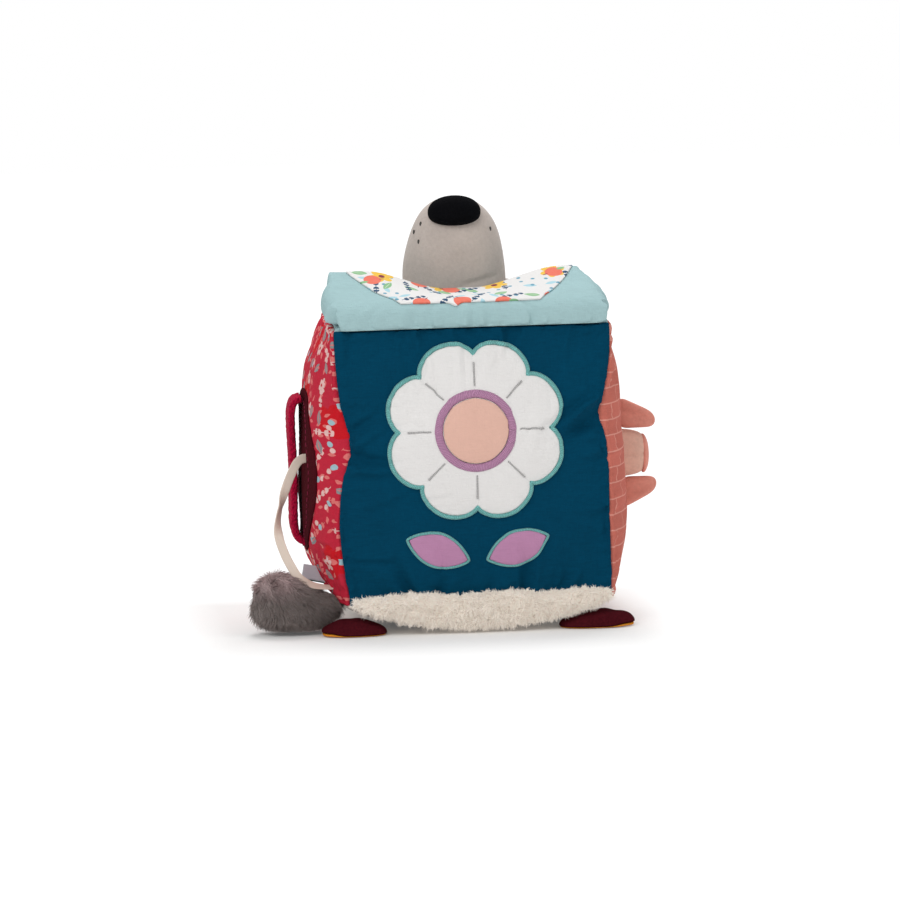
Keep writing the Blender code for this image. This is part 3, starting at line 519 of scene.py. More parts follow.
ORCHARD_SCATTERS = (
    (0.0120, 3.0, 0.50, (
        ("leaf", (0.0046, 0.0017), SKY, 0.0, 0.42),
    )),
    (0.0078, 8.0, 0.55, (
        ("disc", (0.0013,), DOT_BLUE, 0.0, 0.30),
    )),
    (0.0180, 4.0, 0.50, (
        ("leaf", (0.0055, 0.0024), LEAF_GREEN, 0.0, 0.50),
        ("leaf", (0.0050, 0.0003), VEIN_GREEN, 0.0, 0.50),
    )),
    (0.0215, 1.0, 0.35, (
        ("sprig", (0.0098, 0.0044, 0.0020, 0.0012), NAVY, 0.0, 0.60),
    )),
    (0.0400, 6.0, 0.30, (
        ("flower", (0.0085, 6, 0.40), YELLOW, 0.0, 0.60),
        ("disc", (0.0021,), WINE, 0.0, 0.60),
    )),
    (0.0290, 5.0, 0.40, (
        ("disc", (0.0058,), FRUIT_RED, 0.0, 0.60),
        ("leaf", (0.0032, 0.0014, 0.0064, 0.0018), LEAF_GREEN, 0.0, 0.60),
        ("leaf", (0.0021, 0.0005, -0.0064), WINE, 0.0, 0.60),
    )),
)


def stamped(loom, flat, ground, scatters):
    """Prints every motif in turn on the ground, in its ink where the distance to its shape is below 0."""
    paint = ground
    for pitch, seed, jitter, stamps in scatters:
        motif = Scatter(loom, flat, pitch, seed, jitter)
        for shape, measures, ink, low, high in stamps:
            inked = getattr(motif, shape)(*measures).within(INK_EDGE) * motif.rarely(low, high)
            paint = loom.mix(inked, paint, ink)
    return paint


def woven_print(loom, paint, shadow, yarns, depth, share, relief, strength):
    """Finishes a printed cloth: between the yarns its paint is mixed towards the shadow colour, a painted
    shade.
    """
    weave = woven(loom, *yarns)
    paint = loom.mix((weave - 0.5) * depth + share, paint, shadow)
    return loom.finish(paint, 0.85, loom.bump(weave, relief, strength), 0.0, 0.1)


@made_once
def red_print(loom):
    """Pink sprigs, blossoms, grey-blue leaves and pale berries scattered on a red ground."""
    _, y, z = loom.split(loom.place())
    paint = stamped(loom, loom.join(y * 0.72, z), solid(colours().red), RED_SCATTERS)
    return woven_print(loom, paint, (0.20, 0.01, 0.02), PLAIN_WEAVE, 0.6, 0.12, 0.0011, 0.6)


@made_once
def orchard_print(loom):
    """Coral fruit, green leaves, navy sprigs, yellow flowers and pale blue dots on a white ground."""
    x, y, z = loom.split(loom.place())
    paint = stamped(loom, loom.join(x, y * 0.42 + z * 0.9), solid(colours().white), ORCHARD_SCATTERS)
    return woven_print(loom, paint, (0.55, 0.60, 0.60), MUSLIN_WEAVE, 0.35, 0.05, 0.0010, 0.5)


BRICK_LENGTH = 0.0225
BRICK_HEIGHT = 0.0105
MORTAR_HALF = 0.00042


@made_once
def brick_print(loom):
    """Coral bricks in courses, with thin pale mortar lines that waver as if drawn by hand."""
    place = loom.place()
    waver = loom.noise(place, 60, 2.0)
    _, y, z = loom.split(place)
    across = y + (waver - 0.5) * 0.0022
    up = z + (waver - 0.5) * 0.0014
    course = (up / BRICK_HEIGHT).math("FLOOR")
    height = up / BRICK_HEIGHT - course
    shifted = across / BRICK_LENGTH + course * 0.5 + (course * 2.7).math("SINE") * 0.14
    brick = shifted.math("FLOOR")
    edge = (0.5 - abs(height - 0.5)) * BRICK_HEIGHT
    end = (0.5 - abs(shifted - brick - 0.5)) * BRICK_LENGTH
    line = (edge.math("MINIMUM", end) - MORTAR_HALF).within(0.0003)
    here = loom.join(brick, course)
    luck = loom.node("ShaderNodeTexWhiteNoise", {"noise_dimensions": "2D"}, {"Vector": here})
    coral = colours().coral
    paint = loom.mix(line * 0.9, loom.shades(luck * 0.8 + 0.1, coral, 0.90, 1.10), colours().mortar)
    return woven_print(loom, paint, tint(coral, 0.5), PLAIN_WEAVE, 0.5, 0.1, 0.0011, 0.6)


# Surfaces as whole arrays

def unit(vectors):
    return vectors / np.maximum(np.linalg.norm(vectors, axis=-1, keepdims=True), 1e-12)


def smooth(value, low, high):
    share = np.clip((value - low) / (high - low), 0, 1)
    return share * share * (3 - 2 * share)


def bell(value, width):
    """1 where the value is 0, falling off both ways over the width."""
    return np.exp(-((value / width) ** 2))


def full_turn(count):
    return np.linspace(0, 2 * np.pi, count, endpoint=False)


def run_length(points):
    """How far along a polyline each of its points lies."""
    return np.concatenate(([0], np.cumsum(np.linalg.norm(np.diff(points, axis=0), axis=1))))


def blended(values, row, column, p, q):
    """The value inside a cell of a grid, at p of the way down it and q across it."""
    low = values[row, column] * (1 - q) + values[row, column + 1] * q
    high = values[row + 1, column] * (1 - q) + values[row + 1, column + 1] * q
    return low * (1 - p) + high * p


def murmur(points, wavelength, seed, waves=22):
    """Soft noise of about -1 to 1: a sum of sine waves in random directions, near one wavelength."""
    rng = np.random.default_rng(seed)
    ways = unit(rng.normal(size=(waves, 3))) * (2 * np.pi / wavelength)
    ways *= rng.uniform(0.7, 1.4, size=(waves, 1))
    phases = rng.uniform(0, 2 * np.pi, waves)
    return np.sin(points @ ways.T + phases).sum(-1) / math.sqrt(waves / 2) * 0.6


def round_power(value, power):
    return np.sign(value) * np.abs(value) ** power


def ball(rows, columns):
    """Unit ball: angles down from the pole and round it, as x, y, z arrays with both poles closed."""
    down = np.linspace(0, np.pi, rows)[:, None]
    turn = full_turn(columns)[None, :]
    return np.sin(down) * np.cos(turn), np.sin(down) * np.sin(turn), np.cos(down) * np.ones_like(turn)


def quads(rows, columns, wrap_rows=False, wrap_columns=False):
    """The faces of a grid of points, as rows of four corner numbers."""
    index = np.arange(rows * columns).reshape(rows, columns)
    if wrap_rows:
        index = np.vstack((index, index[:1]))
    if wrap_columns:
        index = np.hstack((index, index[:, :1]))
    corners = (index[:-1, :-1], index[1:, :-1], index[1:, 1:], index[:-1, 1:])
    return np.stack(corners, -1).reshape(-1, 4)


def fill_mesh(name, points, faces, cloth=None, along=None):
    """A mesh from arrays: points, faces of one size, and the cloth's coordinates or a value at each point."""
    points = np.ascontiguousarray(points, dtype=np.float32).reshape(-1, 3)
    faces = np.ascontiguousarray(faces, dtype=np.int32)
    sides = faces.shape[1]
    mesh = bpy.data.meshes.new(name)
    mesh.vertices.add(len(points))
    mesh.vertices.foreach_set("co", points.ravel())
    mesh.loops.add(faces.size)
    mesh.loops.foreach_set("vertex_index", faces.ravel())
    mesh.polygons.add(len(faces))
    mesh.polygons.foreach_set("loop_start", np.arange(0, faces.size, sides, dtype=np.int32))
    mesh.update(calc_edges=True)
    if cloth is not None:
        layer = mesh.uv_layers.new(name="cloth")
        flat = np.asarray(cloth, dtype=np.float32).reshape(-1, 2)[faces.ravel()]
        layer.data.foreach_set("uv", flat.ravel())
    if along is not None:
        values = mesh.attributes.new("along", "FLOAT", "POINT")
        values.data.foreach_set("value", np.asarray(along, dtype=np.float32).ravel())
    mesh.shade_smooth()
    return mesh


def close_up(mesh):
    """Merges the points that a pole or an edge repeats, and turns every face outwards."""
    bm = bmesh.new()
    bm.from_mesh(mesh)
    bmesh.ops.remove_doubles(bm, verts=bm.verts, dist=2e-6)
    bmesh.ops.dissolve_degenerate(bm, edges=bm.edges, dist=1e-7)
    bmesh.ops.recalc_face_normals(bm, faces=bm.faces)
    bm.to_mesh(mesh)
    bm.free()
    mesh.shade_smooth()
    return mesh


def shell(name, points):
    """A closed skin: rings of points round an axis, of which the first and the last are drawn to a pole."""
    return close_up(fill_mesh(name, points, quads(*points.shape[:2], wrap_columns=True)))


def piece(mesh, body, material, replaces=()):
    """Puts a finished mesh in the scene: the body it rides on, its cloth, and the solids it stands for."""
    obj = bpy.data.objects.new(mesh.name, mesh)
    bpy.context.scene.collection.objects.link(obj)
    mesh.materials.clear()
    mesh.materials.append(material)
    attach(obj, body)
    if replaces:
        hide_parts(*replaces)
    return obj


def slab(name, outer, inner, wrap=False):
    """A closed piece of cloth: an outer and an inner grid of the same points, joined round their borders."""
    rows, columns = outer.shape[:2]
    count = rows * columns
    top = quads(rows, columns, wrap_columns=wrap)
    index = np.arange(count).reshape(rows, columns)
    if wrap:
        rims = [np.append(rim, rim[0]) for rim in (index[-1, :], index[0, :])]
    else:
        sides = (index[0, :-1], index[:-1, -1], index[-1, :0:-1], index[:0:-1, 0], index[:1, 0])
        rims = [np.concatenate(sides)]
    walls = [np.stack((rim[:-1], rim[1:], rim[1:] + count, rim[:-1] + count), -1) for rim in rims]
    points = np.concatenate((outer.reshape(-1, 3), inner.reshape(-1, 3)))
    return close_up(fill_mesh(name, points, np.concatenate((top, top[:, ::-1] + count, *walls))))


def grid_normals(points):
    """Each point's normal: the cross product of the grid's two directions there."""
    return unit(np.cross(np.gradient(points, axis=0), np.gradient(points, axis=1)))


class Skin:
    """A sewn surface as a grid of points, from -1 to 1 both ways, that other pieces can be laid on."""

    def __init__(self, points, outward):
        self.points = points
        normals = grid_normals(points)
        middle = normals[points.shape[0] // 2, points.shape[1] // 2]
        self.normals = normals if middle @ np.array(outward) > 0 else -normals

    def at(self, a, b, out=0.0):
        """The point at across a and up b, moved out along the normal: four grid points blended."""
        rows, columns = self.points.shape[:2]
        i = np.clip((np.asarray(b) + 1) / 2 * (rows - 1), 0, rows - 1.001)
        j = np.clip((np.asarray(a) + 1) / 2 * (columns - 1), 0, columns - 1.001)
        row, column = np.floor(i).astype(int), np.floor(j).astype(int)
        cell = (row, column, (i - row)[..., None], (j - column)[..., None])
        return blended(self.points, *cell) + unit(blended(self.normals, *cell)) * np.asarray(out)[..., None]


def resample(points, count, closed=False):
    """Points evenly spaced along a polyline."""
    points = np.asarray(points, dtype=float)
    if closed:
        points = np.vstack((points, points[:1]))
    length = run_length(points)
    marks = np.linspace(0, length[-1], count, endpoint=not closed)
    return np.stack([np.interp(marks, length, points[:, k]) for k in range(points.shape[1])], -1), length[-1]


def band(name, path, ups, half_widths, heights, sides=10, closed=False, power=1.0):
    """A profile carried along a path: an ellipse or flat oval across each point, its width sideways and its
    height along the ups. The ends are closed with a point, or the path itself is closed.
    """
    path = np.asarray(path, dtype=float)
    count = len(path)
    if closed:
        wide = np.vstack((path[-1:], path, path[:1]))
        ahead = unit(wide[2:] - wide[:-2])
    else:
        ahead = unit(np.gradient(path, axis=0))
    ups = unit(ups - ahead * np.sum(ups * ahead, -1, keepdims=True))
    across = np.cross(ahead, ups)
    turn = full_turn(sides)
    side, rise = (
        round_power(value, power)[None, :, None] * np.broadcast_to(size, count)[:, None, None]
        for value, size in ((np.cos(turn), half_widths), (np.sin(turn), heights))
    )
    ring = path[:, None] + across[:, None] * side + ups[:, None] * rise
    cloth = np.stack(np.broadcast_arrays(run_length(path)[:, None], side[..., 0]), -1)
    if closed:
        return close_up(fill_mesh(name, ring, quads(count, sides, True, True), cloth))
    ends = [np.broadcast_to(end, (1, sides, 3)) for end in (path[0], path[-1])]
    ring = np.concatenate((ends[0], ring, ends[1]))
    cloth = np.concatenate((cloth[:1], cloth, cloth[-1:]))
    return close_up(fill_mesh(name, ring, quads(count + 2, sides, False, True), cloth))


def scattered(points, count, seed):
    """Random places spread evenly over rings of points, with their normals: quads are drawn by their area."""
    rng = np.random.default_rng(seed)
    points = np.concatenate((points, points[:, :1]), 1)
    a, b, c = points[:-1, :-1], points[1:, :-1], points[:-1, 1:]
    area = np.linalg.norm(np.cross(b - a, c - a), axis=-1)
    total = np.cumsum(area.ravel())
    pick = np.searchsorted(total, rng.uniform(0, total[-1], count))
    row, column = np.unravel_index(np.minimum(pick, area.size - 1), area.shape)
    cell = (row, column, *rng.uniform(size=(2, count, 1)))
    return blended(points, *cell), unit(blended(grid_normals(points), *cell))


def rooted(points, count, seed, clump_size):
    """A pile's roots on a skin, their ways out of it, how the clumps lean, and what draws its numbers."""
    roots, ways = scattered(points, count, seed)
    outwards = np.sum((roots - points.reshape(-1, 3).mean(0)) * ways, -1).mean()
    clump = np.stack([murmur(roots, clump_size, seed + number) for number in (2, 3, 4)], -1)
    return roots, ways if outwards > 0 else -ways, clump, np.random.default_rng(seed + 1)


def strands(name, roots, ways, lengths, thickness, steps=3, curl=0.0, turns=1.0, fall=None, seed=1):
    """Hair: from each root a tapered three-sided tube along its way, bent towards fall with the square of the
    distance, and wound round its way by curl.
    """
    rng = np.random.default_rng(seed)
    count = len(roots)
    along = np.linspace(0, 1, steps + 1)
    side = unit(np.cross(ways, unit(rng.normal(size=(count, 3)))))
    up = np.cross(ways, side)
    lengths = np.broadcast_to(lengths, count)
    spine = roots[:, None] + ways[:, None] * (lengths[:, None] * along)[..., None]
    if fall is not None:
        spine = spine + fall[:, None] * (along**2)[None, :, None]
    if curl:
        angle = 2 * np.pi * turns * along[None, :] + rng.uniform(0, 2 * np.pi, (count, 1))
        grow = curl * along[None, :] ** 0.7
        spine = spine + side[:, None] * (np.cos(angle) * grow)[..., None]
        spine = spine + up[:, None] * (np.sin(angle) * grow)[..., None]
    radius = thickness / 2 * (1 - along) ** 0.6 + thickness * 0.03
    corner = 2 * np.pi * np.arange(3) / 3
    ring = side[:, None, None] * np.cos(corner)[:, None] + up[:, None, None] * np.sin(corner)[:, None]
    points = spine[:, :, None] + ring * radius[None, :, None, None]
    index = np.arange(count * (steps + 1) * 3).reshape(count, steps + 1, 3)
    beside = np.roll(index, -1, 2)
    triangles = (index[:, :-1], beside[:, :-1], beside[:, 1:], index[:, :-1], beside[:, 1:], index[:, 1:])
    walls = np.stack(triangles, -1).reshape(-1, 3)
    ends = np.concatenate((index[:, 0, ::-1], index[:, -1]))
    value = np.broadcast_to(along[None, :, None], (count, steps + 1, 3))
    return fill_mesh(name, points, np.concatenate((walls, ends)), along=value)


def wrinkles(shift, window):
    """What is left of a shift once its slow part is taken away: a wide blur both ways."""
    kernel = np.hanning(window + 2)[1:-1]
    kernel /= kernel.sum()
    slow = shift
    for axis in (0, 1):
        pad = [(0, 0), (0, 0), (0, 0)]
        pad[axis] = (window // 2, window - 1 - window // 2)
        wide = np.pad(slow, pad, mode="edge")
        size = shift.shape[axis]
        slow = sum(part * wide.take(range(k, k + size), axis) for k, part in enumerate(kernel))
    return shift - slow


PANEL_PRESSURE = 1.6
PANEL_GROWTH = 0.03
PANEL_FRAMES = 12
PANEL_REACH = 0.0025
PANEL_CLOTH = {
    "quality": 5,
    "mass": 0.2,
    "tension_stiffness": 25,
    "compression_stiffness": 25,
    "shear_stiffness": 12,
    "bending_stiffness": 0.25,
    "use_pressure": True,
    "uniform_pressure_force": PANEL_PRESSURE,
    "shrink_min": -PANEL_GROWTH,
}


def billow(points, held):
    """Cloth simulation of a padded panel: its grid, held at its seams, grows a little and is blown out by
    its filling, so that it gathers along the seams. Only its wrinkles are kept, and no point moves further
    than its reach.
    """
    rows, columns = points.shape[:2]
    scene = bpy.context.scene
    mesh = fill_mesh("billow", points, quads(rows, columns))
    obj = bpy.data.objects.new("billow", mesh)
    scene.collection.objects.link(obj)
    pins = obj.vertex_groups.new(name="held")
    pins.add(np.flatnonzero(held.ravel()).tolist(), 1.0, "REPLACE")
    cloth = obj.modifiers.new("Cloth", "CLOTH")
    for name, value in PANEL_CLOTH.items():
        setattr(cloth.settings, name, value)
    cloth.settings.vertex_group_mass = "held"
    cloth.settings.effector_weights.gravity = 0
    cloth.point_cache.frame_start = 1
    cloth.point_cache.frame_end = PANEL_FRAMES
    for number in range(1, PANEL_FRAMES + 1):
        scene.frame_set(number)
    result = obj.evaluated_get(bpy.context.evaluated_depsgraph_get())
    moved = np.empty(rows * columns * 3, dtype=np.float32)
    result.to_mesh().vertices.foreach_get("co", moved)
    result.to_mesh_clear()
    scene.frame_set(1)
    bpy.data.objects.remove(obj, do_unlink=True)
    bpy.data.meshes.remove(mesh)
    shift = wrinkles(moved.reshape(rows, columns, 3) - points, rows // 5)
    far = np.linalg.norm(shift, axis=-1, keepdims=True)
    return points + shift * np.minimum(1, PANEL_REACH / np.maximum(far, 1e-9))


# The block's sewn surface

SEAM_VALLEY = 0.0013
SEAM_VALLEY_WIDTH = 0.0016


def face_way(face):
    """The direction that a face of the block looks in."""
    axis, way = FACES[face][:2]
    return way * np.eye(3)[axis]


def face_grid(count):
    return np.meshgrid(np.linspace(-1, 1, count), np.linspace(-1, 1, count))


def block_surface(face, a, b):
    """A face of the block at across a and up b, each from -1 to 1: a box with rounded edges, pushed out by
    the face's bulge times a crown that is 1 in the middle and 0 at the seams, sunk along the seams, and drawn
    in where the upright seams are pulled tight and at the upper rear corners.
    """
    axis, way, across, up, bulge = FACES[face]
    place = np.empty((*np.shape(a), 3))
    place[..., axis], place[..., across], place[..., up] = way, a, b
    u, v, w = np.moveaxis(place, -1, 0)
    inner = np.clip(place * HALF_BLOCK, EDGE_ROUND - HALF_BLOCK, HALF_BLOCK - EDGE_ROUND)
    normal = unit(place * HALF_BLOCK - inner)
    point = inner + normal * EDGE_ROUND
    if face in ("left", "right"):
        crown = (1 - np.abs(a) ** SIDE_CROWN_POWER) * (1 - b**4) * (1 - LOW_SWELL_SHARE * b)
        crown = crown * (1 - SIDE_EASE_SHARE * smooth(b, SIDE_EASE_START, 1.0))
    else:
        power = 4 if face == "base" else 2
        crown = (1 - a**power) * (1 - b**power)
    point = point + face_way(face) * (bulge * crown)[..., None]
    to_seam = np.minimum((1 - np.abs(a)) * HALF_BLOCK[across], (1 - np.abs(b)) * HALF_BLOCK[up])
    point = point - normal * (SEAM_VALLEY * bell(to_seam, SEAM_VALLEY_WIDTH))[..., None]
    point[..., 0] -= u * REAR_CORNER_DRAW * np.clip(v, 0, 1) ** 2 * np.clip(w, 0, 1) ** 4
    for side, front, height, length, depth in DRAWN_SEAMS:
        near = (np.clip(u * side, 0, 1) * np.clip(v * front, 0, 1)) ** 7
        tight = near * bell(w * HALF_HEIGHT + MIDDLE - height, length) * depth
        point = point - np.stack((tight * side, tight * front * 0.4, 0 * tight), -1)
    point[..., 2] += MIDDLE
    point[..., 2] = np.maximum(point[..., 2], SKIN_GAP)
    return point


# Where the upright seams are pulled in, or stand out: side, front or back, height, length and depth
DRAWN_SEAMS = (
    (-1, -1, 0.126, 0.022, 0.0066),
    (-1, -1, 0.200, 0.038, -0.0024),
    (-1, -1, 0.074, 0.026, -0.0022),
    (-1, -1, 0.020, 0.020, 0.0038),
    (1, -1, 0.144, 0.020, 0.0044),
    (1, -1, 0.198, 0.036, -0.0024),
    (-1, 1, 0.110, 0.024, 0.0040),
    (1, 1, 0.120, 0.024, 0.0040),
)


def fold(point, start, end, depth, width, across=0, up=2):
    """A crease from start to end: a groove with a soft ridge beside it, deepest at its start."""
    here = point[..., [across, up]]
    start, end = np.array(start), np.array(end)
    way = end - start
    length = np.linalg.norm(way)
    along = ((here - start) @ way) / length**2
    off = (here[..., 0] - start[0]) * way[1] / length - (here[..., 1] - start[1]) * way[0] / length
    taper = smooth(along, -0.12, 0.05) * (1 - smooth(along, 0.25, 1.0))
    return taper * depth * (0.55 * bell(off - 1.9 * width, width) - bell(off, width))


# The lengths of the waves along a gathered seam, in periods
GATHER_PERIODS = (1, 1.37, 0.71, 2.3, 0.53)


def gathers(to_seam, along, height, seed, reach=0.011, period=0.013):
    """Puckers that run in from a seam and fade over reach: uneven waves along the seam."""
    rng = np.random.default_rng(seed)
    phase = rng.uniform(0, 6.28, len(GATHER_PERIODS))
    wave = sum(np.sin(along * 2 * np.pi / (period * f) + shift) for f, shift in zip(GATHER_PERIODS, phase))
    return height * wave / 2.4 * np.exp(-to_seam / reach) * smooth(to_seam, 0, 0.002)


PANELS = (
    ("front", "front_panel", "petrol_cotton", 140),
    ("left", "left_panel", "red_print_cotton", 140),
    ("right", "right_panel", "coral_brick_cotton", 120),
    ("back", "back_panel", "petrol_cotton", 100),
    ("top", "top_panel", "aqua_cotton", 80),
    ("base", "base_panel", "sherpa_fleece", 90),
)


def aqua_muslin():
    return cotton("Aqua muslin", colours().aqua, contrast=0.10, relief=0.0016)


def panel_cloth(face):
    if face in ("front", "back"):
        return cotton("Petrol cotton", colours().petrol)
    if face == "left":
        return red_print("Red sprig cotton")
    if face == "right":
        return brick_print("Coral brick cotton")
    if face == "top":
        return aqua_muslin()
    return plush("Sherpa base", colours().fleece, nap=260, relief=0.0012)


def panel_grid(face, count):
    """One face's outer cloth: the block's surface with soft creases, and gathers along its seams."""
    a, b = face_grid(count)
    plain = block_surface(face, a, b)
    if face == "base":
        return plain
    half_a, half_b = HALF_BLOCK[list(FACES[face][2:4])]
    to_side, to_end = (1 - np.abs(a)) * half_a, (1 - np.abs(b)) * half_b
    seed = len(face) * 7 + ord(face[0])
    pucker = sizes().pucker
    lift = gathers(to_end, a * half_a, pucker, seed) + gathers(to_side, b * half_b, pucker * 0.7, seed + 1)
    inland = smooth(np.minimum(to_side, to_end), 0, 0.02)
    lift = lift + murmur(plain, 0.055, seed + 2) * sizes().crease * inland
    if face == "front":
        for start, end, depth, width in FRONT_FOLDS:
            lift = lift + fold(plain, start, end, depth, width)
    held = (np.abs(a) > 1 - 1e-9) | (np.abs(b) > 1 - 1e-9)
    return billow(plain + face_way(face) * lift[..., None], held)


# The front panel's creases, as across and height: start at a seam, end inside, depth and width
FRONT_FOLDS = (
    ((-0.084, 0.119), (-0.046, 0.112), 0.0052, 0.0036),
    ((-0.084, 0.132), (-0.058, 0.148), 0.0032, 0.0040),
    ((0.088, 0.146), (0.050, 0.120), 0.0066, 0.0042),
    ((0.086, 0.136), (0.058, 0.128), 0.0030, 0.0030),
    ((0.088, 0.112), (0.064, 0.106), 0.0020, 0.0034),
    ((0.088, 0.074), (0.066, 0.070), 0.0012, 0.0034),
    ((-0.032, 0.204), (-0.030, 0.184), 0.0020, 0.0026),
    ((-0.010, 0.204), (-0.008, 0.186), 0.0020, 0.0022),
    ((0.026, 0.204), (0.024, 0.178), 0.0030, 0.0028),
    ((-0.044, 0.024), (-0.056, 0.054), 0.0036, 0.0032),
    ((-0.026, 0.024), (-0.022, 0.040), 0.0018, 0.0026),
    ((0.006, 0.024), (0.010, 0.042), 0.0018, 0.0028),
    ((0.030, 0.024), (0.034, 0.058), 0.0036, 0.0034),
    ((0.054, 0.024), (0.064, 0.046), 0.0020, 0.0030),
)


class FABRICBLOCK_OT_panels(bpy.types.Operator):
    """Sew the six padded panels and give the foam core its finish"""

    bl_idname = "fabricblock.panels"
    bl_label = "Padded panels"

    def execute(self, context):
        shrink = (HALF_BLOCK - PANEL_DEPTH) / HALF_BLOCK
        centre = np.array((0, 0, MIDDLE))
        for face, node, slot, count in PANELS:
            outer = panel_grid(face, count)
            skins[face] = Skin(outer, face_way(face))
            inner = (block_surface(face, *face_grid(count)) - centre) * shrink + centre
            obj = piece(slab(face + "_cloth", outer, inner), "block", panel_cloth(face), (node,))
        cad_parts["foam_core"].data.materials.clear()
        foam = plush("Foam", (0.78, 0.74, 0.60), nap=900, sheen=0.0)
        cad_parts["foam_core"].data.materials.append(foam)
        return {"FINISHED"}


# The daisy and its leaves

FLOWER_MIDDLE = 0.134
FLOWER_RADIUS = 0.058
FLOWER_PETALS = 8
PETAL_DEPTH = 0.010
CENTRE_RADIUS = 0.021
RING_WIDTH = 0.0055
LEAF_LENGTH = 0.040
LEAF_HALF_WIDTH = 0.0105
LEAF_HEIGHT = 0.046
LEAF_INNER_END = 0.008
LEAF_ANGLE = math.radians(20)
CLOTH_THICKNESS = 0.0008
PETAL_PUFF = 0.0012
PETAL_LINE_GAPS = (0.0025, 0.0035)
EDGING_HEIGHT = 0.0019
LEAF_EDGING_GROWTH = 0.07


def on_front(x, z, out):
    """Lays points of the front's plane on the front panel's skin."""
    return skins["front"].at(x / HALF_WIDTH, (z - MIDDLE) / HALF_HEIGHT, out)


def daisy_reach(angle, radius):
    lobe = np.abs(np.sin(FLOWER_PETALS * angle / 2)) ** 0.6
    return radius - PETAL_DEPTH * (1 - lobe)


def patch(name, outline, middle, out, puff, rings):
    """A cloth patch on the front: its outline shrunk in rings to its middle, laid on the skin and puffed."""
    share = np.linspace(0, 1, rings)[:, None]
    x = middle[0] + (outline[:, 0] - middle[0]) * share
    z = middle[1] + (outline[:, 1] - middle[1]) * share
    high = on_front(x, z, out + CLOTH_THICKNESS + puff * (1 - share**6) * np.ones_like(x))
    return slab(name, high, on_front(x, z, np.full_like(x, out)), wrap=True)


def on_front_with_ups(x, z, out):
    """Points laid on the front panel's skin, and the way out of it at each."""
    path = on_front(x, z, np.full_like(x, out))
    return path, on_front(x, z, np.full_like(x, out + 0.001)) - path


def edging_band(name, outline, out, width, height):
    """Satin stitch along a closed outline on the front, as a low rounded ridge."""
    route, _ = resample(outline, max(160, int(len(outline) * 1.5)), closed=True)
    return band(name, *on_front_with_ups(route[:, 0], route[:, 1], out), width / 2, height, closed=True)


def leaf_outline(side, count=60):
    """Two arcs that meet in a point at both ends, turned upwards to the side."""
    share = np.concatenate((np.linspace(0, 1, count), np.linspace(1, 0, count)[1:-1]))
    width = LEAF_HALF_WIDTH * np.sin(np.pi * share) ** 0.8
    width[count:] *= -1
    along = LEAF_INNER_END + LEAF_LENGTH * share
    x = along * math.cos(LEAF_ANGLE) - width * math.sin(LEAF_ANGLE)
    z = along * math.sin(LEAF_ANGLE) + width * math.cos(LEAF_ANGLE)
    return np.stack((side * x, z + LEAF_HEIGHT), -1)


class FABRICBLOCK_OT_daisy(bpy.types.Operator):
    """Sew the daisy, its ring and middle, and the two leaves on the front panel"""

    bl_idname = "fabricblock.daisy"
    bl_label = "Daisy and leaves"

    def execute(self, context):
        dyes = colours()
        stitch = sizes().stitch_width
        turn = full_turn(480) + 0.004
        middle = (0.0, FLOWER_MIDDLE)
        teal = stitching("Teal satin stitch", dyes.teal)

        def ring_at(reach):
            return np.stack((reach * np.cos(turn), FLOWER_MIDDLE + reach * np.sin(turn)), -1)

        outline = ring_at(daisy_reach(turn, FLOWER_RADIUS))
        petals = patch("petals", outline, middle, SKIN_GAP, PETAL_PUFF, 60)
        white = cotton("White cotton", dyes.white, contrast=0.05)
        piece(petals, "block", white, ("flower_petals",))
        outline = ring_at(daisy_reach(turn, FLOWER_RADIUS + stitch / 2))
        edge = edging_band("petal_edging", outline, SKIN_GAP, stitch, EDGING_HEIGHT)
        piece(edge, "block", teal, ("flower_edging",))

        on_petals = SKIN_GAP + CLOTH_THICKNESS + PETAL_PUFF
        circle = ring_at(np.full_like(turn, CENTRE_RADIUS))
        centre = patch("flower_middle", circle, middle, on_petals + SKIN_GAP, 0.0010, 30)
        peach = cotton("Peach cotton", dyes.peach, contrast=0.06)
        piece(centre, "block", peach, ("flower_centre",))
        ring_path = ring_at(np.full_like(turn, CENTRE_RADIUS + SKIN_GAP + RING_WIDTH / 2))
        ring = edging_band("flower_ring_band", ring_path, on_petals, RING_WIDTH, 0.0013)
        piece(ring, "block", stitching("Mauve satin stitch", dyes.mauve), ("flower_ring",))

        # Thread lines along the creases between the petals; their grey, the petals' white darkened, is
        # painted crease shade
        creases = []
        first, last = CENTRE_RADIUS + RING_WIDTH, FLOWER_RADIUS - PETAL_DEPTH
        reach = np.linspace(first + PETAL_LINE_GAPS[0], last - PETAL_LINE_GAPS[1], 40)
        for angle in full_turn(FLOWER_PETALS):
            x, z = reach * np.cos(angle), FLOWER_MIDDLE + reach * np.sin(angle)
            creases.append(band("petal_line", *on_front_with_ups(x, z, on_petals), 0.00055, 0.0005, 8))
        grey = stitching("Grey petal thread", tint(dyes.white, 0.62))
        piece(join_meshes("petal_lines", creases), "block", grey)

        mauve = cotton("Mauve cotton", dyes.mauve, contrast=0.08)
        for word, side in (("left", -1), ("right", 1)):
            outline = leaf_outline(side)
            middle = outline.mean(0)
            leaf = patch("mauve_leaf_" + word, outline, middle, SKIN_GAP, 0.0007, 20)
            piece(leaf, "block", mauve, ("leaf_" + word,))
            grown = middle + (outline - middle) * (1 + LEAF_EDGING_GROWTH)
            rim = edging_band("leaf_edging_" + word, grown, SKIN_GAP, 0.0019, 0.0013)
            piece(rim, "block", teal)
        return {"FINISHED"}


# The quilt

